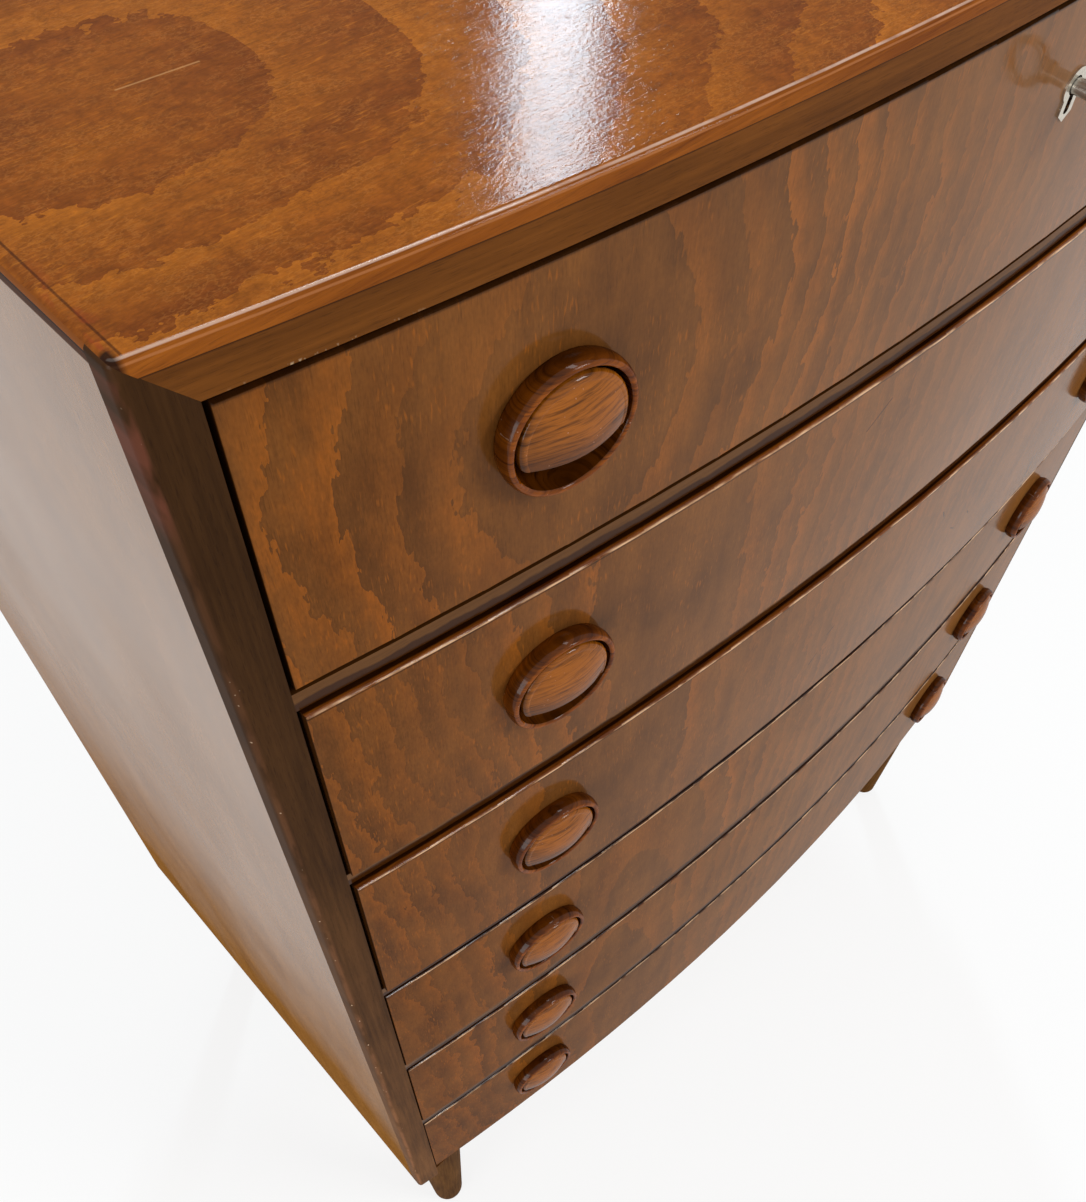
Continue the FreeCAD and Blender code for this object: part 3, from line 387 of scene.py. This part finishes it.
def plain_wood(name, across_axis, along_axis, seed, colours, coat, roughness):
    """Plain straight-grained wood for one node or more."""
    g = Graph(name)
    across = getattr(g, across_axis)
    along = getattr(g, along_axis)
    g.bump(lacquer_height(g, across, along, seed), 0.00002)
    return g.lacquered(plain_grain(g, across, along, seed, colours), roughness, coat, 0.12)


# A figure of veneer. Its rings lie round a heart line at one place across the grain, a depth below
# the veneer, with the first ring at a radius and the next ones a spacing apart. Wander and teeth
# bend and fray them, lean and tilt move them with the height over a level, and closing bends them
# together there, within a reach. The other values are strengths. Near and far are distances from
# the heart, between which the figure weakens to its far share.
BASE_FIGURE = {
    "wander": 0.040, "teeth": 0.016, "tooth_rate": 60.0, "lean": 0.15, "depth": 0.100, "tilt": 0.0,
    "closing": 0.0, "reach": 0.047, "first_ring": 0.1105, "spacing": 0.011, "fade": 2.0,
    "warmth": 0.75, "edge": 0.35, "near": 0.12, "far": 0.30, "far_share": 0.50, "pores": 0.78,
    "flecks": 0.5, "painted_sheen": 0.16, "gloss": 0.13, "far_gloss": 0.60,
}


def figure(**changes):
    """A figure's values, with some of them changed."""
    return {**BASE_FIGURE, **changes}


FRONT_FIGURES = (
    figure(seed=11.0, heart=-0.250, level=1.040, closing=0.78),
    figure(seed=23.0, heart=-0.191, level=0.900, depth=0.060, first_ring=0.0727, spacing=0.013,
           closing=0.1),
    figure(seed=37.0, heart=-0.215, level=0.760, spacing=0.010, closing=0.12, warmth=0.65,
           far_gloss=0.46),
    figure(seed=41.0, heart=-0.185, level=0.640, first_ring=0.110, depth=0.110, tilt=0.07,
           spacing=0.012, warmth=0.65, gloss=0.10, far_gloss=0.31),
    figure(seed=53.0, heart=-0.195, level=0.531, first_ring=0.110, depth=0.110, tilt=0.06,
           spacing=0.012, warmth=0.65, gloss=0.10, far_gloss=0.24),
    figure(seed=67.0, heart=-0.160, level=0.300, closing=0.2, warmth=0.5, gloss=0.10,
           far_gloss=0.22),
)
TOP_FIGURE = figure(
    seed=83.0, heart=-0.075, level=-0.33, depth=0.060, first_ring=0.050, spacing=0.022,
    closing=0.80, reach=0.25, wander=0.07, teeth=0.020, tooth_rate=140.0, lean=0.0, fade=1.8,
    warmth=0.75, edge=0.55, near=0.2, far=0.5, pores=0.85,
)
SIDE_FIGURE = figure(
    seed=97.0, heart=0.02, level=0.6, spacing=0.020, closing=0.08, warmth=0.35, edge=0.2,
    pores=0.8,
)

# Each scratch's two ends: x and z on the fronts, by drawer, and x and y on the top
FRONT_SCRATCHES = {
    2: (((-0.067, 0.945), (-0.080, 0.933)),),
    3: (((-0.045, 0.757), (-0.050, 0.752)), ((-0.055, 0.738), (-0.060, 0.731)),
        ((0.050, 0.784), (0.054, 0.777)), ((0.075, 0.750), (0.080, 0.746)),
        ((0.093, 0.752), (0.096, 0.748))),
}
TOP_SCRATCH_ENDS = ((-0.320, -0.075), (-0.295, -0.077))


def ahead_of_rails(g):
    """How far a point stands in front of the rails' bowed face, in metres."""
    bow = g.sub(BOW_CENTRE, g.math("SQRT", g.sub(BOW_RADIUS ** 2, g.mul(g.x, g.x))))
    return g.sub(bow, g.y)


def upper_edge(g, number, colour, under):
    """Adds a front's ledge, with painted shade at its back and a painted highlight on its arris;
    under is from the top.
    """
    # patches that break up the painted arris highlight
    worn = g.span(g.field(g.z, g.x, (300.0, 60.0), 3.0 + number, 4.0), 0.40, 0.56)
    ledge = plain_grain(g, g.y, g.x, 43.0 + number, LEDGE_COLOURS)
    # painted shade at the back of the ledge, where it meets the rail above
    ledge = g.mix(g.span(ahead_of_rails(g), 0.0004, 0.0011, 0.9, 0.0), ledge, LEDGE_BACK_SHADE)
    colour = g.mix(g.span(g.facing[2], 0.3, 0.7), colour, ledge)
    colour = g.mix(g.mul(g.line(under, 0.0019, 0.0006), 0.6), colour, UNDER_ARRIS)
    # painted highlight along the arris, broken into patches
    return g.mix(g.mul(g.line(under, 0.0009, 0.0006), worn, 0.85), colour, ARRIS_HIGHLIGHT)


def front_veneer(number, shape):
    """Veneer of one drawer's front. The first one, under the top, has a shadow and no ledge."""
    g = Graph(f"front_veneer_{number}")
    is_first = number == 1
    colour = figured(g, g.x, g.z, shape, FRONT_COLOURS)
    # painted sheen, growing from the left of the fronts towards their middle
    colour = g.mix(g.span(g.x, FRONT_LEFT, FRONT_MIDDLE, 0.03, shape["painted_sheen"]), colour, PAINTED_SHEEN)
    for start, end in FRONT_SCRATCHES.get(number, ()):
        mark = g.scratch(g.x, g.z, start, end, 0.0006)
        colour = g.mix(g.mul(mark, 0.8), colour, FRONT_SCRATCH)
    under = g.sub(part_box(f"drawer_{number}_front")[1][2], g.z)
    if is_first:
        colour = g.mix(g.span(under, 0.0008, 0.0020, 0.9, 0.0), colour, UPPER_SHADOW)
    else:
        colour = upper_edge(g, number, colour, under)
    # painted shade on the fronts' end faces, which lie in the gaps
    colour = g.mix(g.span(g.size(g.facing[0]), 0.8, 0.95), colour, FRONT_END_SHADE)
    g.bump(lacquer_height(g, g.x, g.z, shape["seed"]), 0.00003)
    gloss = g.span(g.x, FRONT_LEFT, FRONT_MIDDLE + 0.05, shape["gloss"], shape["far_gloss"])
    upper = g.span(g.facing[2], 0.2, 0.6)
    ledge_gloss = 0.0 if is_first else 0.4
    gloss = g.add(g.mul(gloss, g.sub(1.0, upper)), g.mul(upper, ledge_gloss))
    return g.lacquered(colour, 0.42, gloss, 0.10)


def rail_wood():
    """Rails between the drawers: greyish above, dark brown towards the next drawer's edge."""
    g = Graph("rail_wood")
    colour = plain_grain(g, g.z, g.x, 9.0, RAIL_COLOURS)
    ragged = g.swing(g.z, g.x, (60.0, 45.0), 61.0, 0.006, 3.0)
    for number in ALL_RAILS:
        depth = g.add(g.sub(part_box(f"rail_{number}")[1][2], g.z), ragged)
        lower = g.mul(g.span(depth, 0.0045, 0.0056), g.span(depth, 0.015, 0.016, 1.0, 0.0))
        colour = g.mix(g.mul(lower, 0.9), colour, RAIL_SHADOW)
    # painted shade on the rails' top faces, in the gaps under the drawers
    colour = g.mix(g.span(g.facing[2], 0.6, 0.9), colour, RAIL_TOP_SHADE)
    g.bump(lacquer_height(g, g.z, g.x, 9.0), 0.00002)
    return g.lacquered(colour, 0.4, 0.25, 0.12)


def top_face(g):
    """Colour of the top's upper face, with its seams by the sides, its wear, a scratch, and pale and
    dark curls painted as reflections in its lacquer.
    """
    colour = figured(g, g.y, g.x, TOP_FIGURE, TOP_COLOURS)
    mottle = g.field(g.y, g.x, (240.0, 170.0), 88.0, 4.0, 0.62)
    colour = g.shade(colour, g.span(mottle, 0.32, 0.68, 0.82, 1.20))
    # painted reflections in the lacquer's ripples: pale curls as highlights, dark curls as darker
    # reflections
    pale = worms(g, g.y, g.x, (520.0, 260.0), 71.0)
    colour = g.mix(g.mul(pale, 0.16), colour, PALE_CURL_HIGHLIGHTS)
    dark = worms(g, g.y, g.x, (560.0, 300.0), 75.0)
    colour = g.mix(g.mul(dark, 0.26), colour, DARK_CURL_REFLECTIONS)
    aside = g.size(g.x)
    colour = g.mix(g.mul(g.line(aside, SEAM_PLACE, 0.0005), 0.65), colour, SEAM)
    in_front = g.span(g.y, -0.165, -0.11, 1.0, 0.0)
    by_seam = g.mul(g.span(aside, SEAM_PLACE - 0.004, SEAM_PLACE), in_front)
    worn = g.span(g.field(g.x, g.y, (260.0, 120.0), 90.0, 3.0), 0.52, 0.62)
    colour = g.mix(g.mul(by_seam, worn, 0.5), colour, SEAM_WEAR)
    scratch = g.scratch(g.x, g.y, *TOP_SCRATCH_ENDS, 0.0005)
    return g.mix(g.mul(scratch, 0.35), colour, TOP_SCRATCH)


def top_band(g):
    """Colour of the lipping's front face under the bead, with small chips on its lower edge and
    painted shade under the bead's step.
    """
    colour = plain_grain(g, g.z, g.x, 5.0, BAND_COLOURS)
    above_foot = g.sub(g.z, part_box("top_lipping")[0][2])
    low_edge = g.span(above_foot, 0.0003, 0.0009, 1.0, 0.0)
    chip = g.span(g.field(g.x, g.z, (700.0, 400.0), 17.0, 1.0), 0.60, 0.70)
    colour = g.mix(g.mul(low_edge, chip, g.line(g.x, CHIPS_PLACE, 0.030), 0.7), colour, CHIPS)
    # painted shade: a dark line under the bead's step
    return g.mix(g.mul(g.line(g.z, BEAD_FOOT - 0.0004, 0.0007), 0.7), colour, BEAD_STEP_SHADE)


def top_bead(g):
    """Colour of the bead along the top's front edge, with a soft painted highlight line on its
    arris.
    """
    colour = plain_grain(g, g.add(g.y, g.z), g.x, 6.0, BEAD_COLOURS)
    # painted highlight: a soft pale line on the arris
    return g.mix(g.mul(g.line(g.z, ARRIS_FOOT + 0.0013, 0.0004), 0.4), colour, BEAD_HIGHLIGHT)


def top_glint(g):
    """One along the front arris, where the lacquer is at its glossiest."""
    steep = g.mul(g.span(g.facing[2], 0.78, 0.85), g.span(g.facing[2], 0.93, 0.97, 1.0, 0.0))
    return g.mul(steep, g.span(g.mul(g.facing[1], -1.0), 0.10, 0.20))


def top_wood():
    """Top: veneer that runs on over the lipping to its bead, and the band below it."""
    g = Graph("top_veneer")
    glint = top_glint(g)
    broken = g.span(g.field(g.z, g.x, (300.0, 50.0), 21.0, 4.0), 0.38, 0.54, 0.25, 1.0)
    off_corner = g.span(g.x, -0.33, -0.22)
    pale = g.mul(glint, g.add(1.0, g.mul(off_corner, g.sub(broken, 1.0))))
    above = g.span(g.z, BEAD_FOOT - 0.0002, BEAD_FOOT + 0.0002)
    colour = g.mix(above, top_band(g), top_bead(g))
    sideways = g.span(g.size(g.facing[0]), 0.6, 0.8)
    by_side = g.mul(sideways, g.span(g.z, ARRIS_FOOT, ARRIS_FOOT - 0.0006))
    colour = g.mix(by_side, colour, BEAD_END)
    colour = g.mix(g.span(g.facing[2], 0.80, 0.98), colour, top_face(g))
    colour = g.mix(g.mul(pale, 0.45), colour, ARRIS_GLINT)
    corner = g.mul(g.span(g.size(g.x), CORNER_SIDE, CORNER_SIDE + 0.0018),
                   g.span(g.y, CORNER_FRONT, CORNER_FRONT - 0.0016))
    colour = g.mix(g.mul(corner, 0.9), colour, CORNER)
    ripple = g.field(g.y, g.x, (980.0, 430.0), 91.0, 2.0)
    fine = g.field(g.y, g.x, (2400.0, 800.0), 93.0, 1.0)
    sunk = pores(g, g.y, g.x, TOP_FIGURE["seed"])
    g.bump(g.sub(g.add(g.mul(ripple, 0.75), g.mul(fine, 0.25)), g.mul(sunk, 0.15)), 0.00006)
    return g.lacquered(colour, 0.36, g.span(glint, 0.0, 1.0, 0.16, 0.9), 0.07)


def side_colour(g):
    """Colour of the sides' veneer, a little lighter below."""
    colour = figured(g, g.y, g.z, SIDE_FIGURE, SIDE_COLOURS)
    specks = g.span(g.field(g.y, g.z, (420.0, 160.0), 99.0, 2.0), 0.70, 0.76)
    colour = g.mix(g.mul(specks, 0.6), colour, SIDE_SPECKS)
    return g.shade(colour, g.span(g.z, LIGHT_WOOD_FROM, LIGHT_WOOD_TO, 1.15, 1.0))


def side_gloss(g):
    """Weight of the sides' lacquer, which is worn thin below in patches."""
    patches = g.swing(g.y, g.z, (9.0, 5.0), 98.0, 0.5, 3.0)
    return g.span(g.add(g.z, g.mul(patches, 0.6)), 0.30, 1.05, 0.0, 0.85)


def side_wood():
    """Veneer of the chest's sides, with a dark bead along the top."""
    g = Graph("side_veneer")
    above = g.span(g.z, BEAD_FOOT - 0.0003, BEAD_FOOT + 0.0003)
    colour = g.mix(above, side_colour(g), plain_grain(g, g.z, g.y, 8.0, SIDE_BEAD_COLOURS))
    colour = g.mix(g.mul(g.line(g.z, ARRIS_FOOT, 0.0006), 0.8), colour, SIDE_GROOVE)
    colour = g.mix(g.span(g.z, ARRIS_FOOT + 0.0002, ARRIS_FOOT + 0.0006), colour, SIDE_ARRIS)
    g.bump(lacquer_height(g, g.y, g.z, SIDE_FIGURE["seed"]), 0.00002)
    return g.lacquered(colour, 0.5, g.mul(side_gloss(g), g.span(above, 0.0, 1.0, 1.0, 0.15)), 0.16)


def stile_wood():
    """Solid wood of the stiles, painted lighter below, with a worn outer arris and painted shade on
    its inner face.
    """
    g = Graph("stile_wood")
    colour = plain_grain(g, g.x, g.z, 7.0, STILE_COLOURS)
    outwards = g.mul(g.facing[0], g.math("SIGN", g.x))
    arris = g.mul(g.span(outwards, 0.2, 0.5), g.span(outwards, 0.75, 0.98, 1.0, 0.0))
    worn = g.span(g.field(g.x, g.z, (200.0, 40.0), 15.0, 3.0), 0.38, 0.56)
    colour = g.mix(g.mul(arris, worn, 0.35), colour, STILE_WEAR)
    nicks = g.span(g.field(g.x, g.z, (500.0, 260.0), 16.0, 1.0), 0.74, 0.77)
    colour = g.mix(g.mul(arris, nicks, 0.8), colour, STILE_NICKS)
    ragged = g.swing(g.y, g.z, (300.0, 60.0), 18.0, 0.016, 3.0)
    near_top = g.mul(g.span(g.add(g.z, ragged), RED_WEAR_FROM, RED_WEAR_FROM + 0.018),
                     g.span(outwards, 0.35, 0.6), g.span(g.z, RED_WEAR_TO, RED_WEAR_TO - 0.003))
    colour = g.mix(g.mul(near_top, worn, 0.55), colour, STILE_RED)
    # painted light: lighter towards the foot, darker at the head
    colour = g.shade(colour, g.span(g.z, STILE_FOOT, STILE_HEAD - 0.10, 2.9, 0.9))
    colour = g.shade(colour, g.span(g.z, STILE_HEAD - 0.15, STILE_HEAD, 1.0, 0.85))
    # painted shade on the stiles' inner faces, beside the drawers
    colour = g.mix(g.span(outwards, -0.6, -0.9), colour, STILE_INNER_SHADE)
    g.bump(lacquer_height(g, g.x, g.z, 7.0), 0.00003)
    return g.lacquered(colour, 0.45, 0.10, 0.2)


def dress_wood():
    """Materials of the carcase, drawers and legs."""
    for number, shape in zip(ALL_DRAWERS, FRONT_FIGURES):
        dress(front_veneer(number, shape), f"drawer_{number}_front")
    dress(top_wood(), "top_panel", "top_lipping")
    dress(side_wood(), "left_side", "right_side")
    dress(stile_wood(), "left_stile", "right_stile")
    dress(rail_wood(), *(f"rail_{number}" for number in ALL_RAILS))
    dress(plain_wood("leg_wood", "x", "z", 13.0, LEG_COLOURS, 0.04, 0.4),
          "left_front_leg", "right_front_leg", "left_rear_leg", "right_rear_leg")
    dress(plain_wood("drawer_wood", "z", "y", 17.0, BOX_COLOURS, 0.0, 0.6),
          *(f"drawer_{number}_box" for number in ALL_DRAWERS))
    dress(plain_wood("thin_ply", "y", "x", 19.0, PLY_COLOURS, 0.0, 0.65),
          *(f"drawer_{number}_bottom" for number in ALL_DRAWERS))
    dress(plain_wood("raw_wood", "x", "y", 21.0, RAW_COLOURS, 0.0, 0.7),
          "left_runners", "right_runners", "drawer_stops", "bottom_panel")
    dress(plain_wood("back_ply", "x", "z", 27.0, BACK_COLOURS, 0.0, 0.6), "back_panel")
    dress(plain_wood("block_wood", "y", "x", 22.0, BLOCK_COLOURS, 0.0, 0.6), "corner_blocks")


def turned_wood(name, seed, colours, coat, highlight_height=None):
    """Glossy streaked wood of the pulls, with painted shade on the rings' sides, by the drawer face
    and on the lids' lower left; only a lid has a height at which a highlight band is painted.
    """
    g = Graph(name)
    dark, plain, warm = colours
    row = g.add(g.z, g.swing(g.z, g.x, (30.0, 22.0), seed, 0.010))
    broad = g.field(row, g.x, (150.0, 16.0), seed + 2.0, 3.0)
    bands = g.field(row, g.x, (850.0, 48.0), seed + 1.0, 4.0, 0.6)
    colour = g.mix(g.span(broad, 0.36, 0.64), plain, warm)
    if highlight_height is not None:
        # painted highlight: a bright band across the lid's upper part
        colour = g.mix(g.mul(g.line(g.z, highlight_height, 0.018), 0.6), colour, LID_HIGHLIGHT)
    colour = g.mix(g.span(bands, 0.46, 0.68, 0.0, 0.70), colour, dark)
    marks = pores(g, g.z, g.x, seed)
    colour = g.shade(colour, g.span(marks, 0.0, 1.0, 1.0, 0.6))
    nicks = g.span(g.field(g.x, g.z, (700.0, 700.0), seed + 5.0, 1.0), 0.745, 0.77)
    colour = g.mix(g.mul(nicks, 0.6), colour, PULL_NICKS)
    if highlight_height is None:
        # painted shade on the rings' sideways faces, and darker still near the drawer's face
        colour = g.shade(colour, g.span(g.size(g.facing[1]), 0.15, 0.85, 0.40, 1.10))
        colour = g.shade(colour, g.span(ahead_of_rails(g), -0.002, 0.005, 0.15, 1.0))
    else:
        # painted shade on the lid's lower left
        lit = g.add(g.facing[0], g.mul(g.facing[2], 0.8))
        colour = g.shade(colour, g.span(lit, -0.7, -0.1, 0.45, 1.0))
    g.bump(g.sub(1.0, marks), 0.000010)
    return g.lacquered(colour, 0.3, coat, 0.03)


def dress_pulls():
    """Materials of the turned rings and the lids."""
    ring = turned_wood("ring_wood", 31.0, RING_COLOURS, 0.30)
    for number in ALL_DRAWERS:
        low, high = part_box(f"drawer_{number}_pull_lids")
        highlight_height = low[2] * 0.4 + high[2] * 0.6
        lid = turned_wood(f"lid_wood_{number}", 33.0 + number, LID_COLOURS, 0.4, highlight_height)
        dress(ring, f"drawer_{number}_pull_rings")
        dress(lid, f"drawer_{number}_pull_lids")


def metal(name, colour, roughness, seed):
    """Metal with faint wear in its gloss."""
    g = Graph(name)
    wear = g.field(g.x, g.z, (600.0, 600.0), seed, 4.0)
    g.bump(wear, 0.000006)
    tint = g.shade(colour, g.span(wear, 0.3, 0.7, 0.82, 1.05))
    gloss = g.span(wear, 0.3, 0.7, roughness * 0.75, roughness * 1.4)
    return g.finish(tint, gloss, metallic=1.0)


def glide_plastic():
    """Dark speckled plastic under the feet."""
    g = Graph("glide")
    speck = g.field(g.x, g.y, (900.0, 900.0), 2.0, 3.0)
    g.bump(speck, 0.00003)
    return g.finish(g.shade(linear(60, 52, 46), g.span(speck, 0.3, 0.7, 0.8, 1.1)), 0.5)


def dress_metal():
    """Materials of the lock, key, screws and glides."""
    dress(metal("worn_steel", linear(176, 172, 164), 0.28, 3.0),
          "carcase_screws", "back_screws", "lock_screws", "lock_case", "lock_bolt", "key")
    dress(metal("plate_metal", linear(205, 196, 180), 0.2, 4.0), "escutcheon")
    dress(glide_plastic(), "leg_glides")


# Studio

FLOOR_REACH = 6.0
FLOOR_GLOW = 0.82       # share of plain white in the floor, where it is seen or mirrored
PLAIN_LIGHT = 0.50      # strength of the surroundings on the object
SEEN_LIGHT = 1.0        # and where they are seen or mirrored

# Each lamp's name, place, the point it faces, its width and height, its power and its colour.
# The top mirrors the back lamp.
LAMPS = (
    ("key_lamp", (0.95, -2.10, 2.40), (0, -0.2, 0.9), (0.75, 0.75), 28.0, WHITE[:3]),
    ("ceiling_lamp", (0.40, 0.10, 3.1), (0.0, -0.15, 1.0), (1.6, 0.3), 11.0, WHITE[:3]),
    ("back_lamp", (1.60, 1.76, 2.55), (-0.24, -0.15, 1.12), (0.22, 0.95), 36.0, (0.70, 0.88, 1.0)),
    ("side_lamp", (-3.0, -0.4, 1.1), (-0.38, 0.0, 0.6), (1.4, 1.4), 30.0, WHITE[:3]),
)


def area_lamp(name, place, target, size, power, colour):
    """Soft rectangular lamp that faces a point."""
    data = bpy.data.lights.new(name, "AREA")
    data.shape = "RECTANGLE"
    data.size, data.size_y = size
    data.energy = power
    data.color = colour
    lamp = bpy.data.objects.new(name, data)
    bpy.context.collection.objects.link(lamp)
    lamp.location = place
    lamp.rotation_euler = (Vector(target) - Vector(place)).to_track_quat("-Z", "Y").to_euler()


def pale_rays(tree):
    """One for rays that see or mirror the background, zero for the light on the object."""
    path = tree.nodes.new("ShaderNodeLightPath")
    seen = path.outputs["Is Camera Ray"]
    for name in ("Is Glossy Ray", "Is Transmission Ray"):
        node = tree.nodes.new("ShaderNodeMath")
        node.operation = "MAXIMUM"
        tree.links.new(seen, node.inputs[0])
        tree.links.new(path.outputs[name], node.inputs[1])
        seen = node.outputs[0]
    return seen


def make_floor():
    """Wide pale floor, nearly white where it is seen, with the object's shadow on it."""
    mesh = bpy.data.meshes.new("floor")
    signs = ((-1, -1), (1, -1), (1, 1), (-1, 1))
    corners = [(x * FLOOR_REACH, y * FLOOR_REACH, 0) for x, y in signs]
    mesh.from_pydata(corners, [], [(0, 1, 2, 3)])
    floor = bpy.data.objects.new("floor", mesh)
    bpy.context.collection.objects.link(floor)
    g = Graph("floor")
    tone = g.span(g.field(g.x, g.y, (3.0, 3.0), 1.0, 2.0), 0.3, 0.7, 0.985, 1.0)
    mesh.materials.append(g.finish(g.shade(linear(247, 246, 244), tone), 0.8, specular=0.0))
    glow = g.tree.nodes.new("ShaderNodeEmission")
    glow.inputs["Color"].default_value = WHITE
    glow.inputs["Strength"].default_value = 1.0
    blend = g.tree.nodes.new("ShaderNodeMixShader")
    g.tree.links.new(g.mul(pale_rays(g.tree), FLOOR_GLOW), blend.inputs[0])
    g.tree.links.new(g.shader.outputs["BSDF"], blend.inputs[1])
    g.tree.links.new(glow.outputs[0], blend.inputs[2])
    g.tree.links.new(blend.outputs[0], g.output.inputs["Surface"])


def make_world():
    """Pale surroundings: plain light, and white where they are seen or mirrored."""
    world = bpy.data.worlds.new("studio")
    world.use_nodes = True
    bpy.context.scene.world = world
    tree = world.node_tree
    background = tree.nodes["Background"]
    strength = tree.nodes.new("ShaderNodeMapRange")
    tree.links.new(pale_rays(tree), strength.inputs[0])
    strength.inputs[3].default_value = PLAIN_LIGHT
    strength.inputs[4].default_value = SEEN_LIGHT
    tree.links.new(strength.outputs[0], background.inputs["Strength"])
    background.inputs["Color"].default_value = WHITE


def make_lamps():
    """Soft lamps from the front right, from above, from behind and from the left side."""
    for lamp in LAMPS:
        area_lamp(*lamp)


def make_camera():
    """The photograph's own view."""
    forward = Vector((
        math.sin(CAMERA_HEADING) * math.cos(CAMERA_PITCH),
        math.cos(CAMERA_HEADING) * math.cos(CAMERA_PITCH),
        -math.sin(CAMERA_PITCH),
    ))
    level_right = Vector((math.cos(CAMERA_HEADING), -math.sin(CAMERA_HEADING), 0))
    level_up = level_right.cross(forward)
    right = level_right * math.cos(CAMERA_ROLL) + level_up * math.sin(CAMERA_ROLL)
    up = level_up * math.cos(CAMERA_ROLL) - level_right * math.sin(CAMERA_ROLL)
    data = bpy.data.cameras.new("camera")
    data.sensor_fit = "HORIZONTAL"
    data.sensor_width = SENSOR_WIDTH
    data.lens = FOCAL_PIXELS * SENSOR_WIDTH / IMAGE_WIDTH
    data.shift_x = (IMAGE_WIDTH / 2 - CENTRE_PIXEL[0]) / IMAGE_WIDTH
    data.shift_y = (CENTRE_PIXEL[1] - IMAGE_HEIGHT / 2) / IMAGE_WIDTH
    data.clip_start = NEAREST_SEEN
    camera = bpy.data.objects.new("camera", data)
    bpy.context.collection.objects.link(camera)
    turn = Matrix((right, up, -forward)).transposed().to_4x4()
    camera.matrix_world = Matrix.Translation(CAMERA_PLACE) @ turn
    bpy.context.scene.camera = camera


bpy.context.scene.view_settings.view_transform = "Standard"
dress_wood()
dress_pulls()
dress_metal()
make_floor()
make_world()
make_lamps()
make_camera()
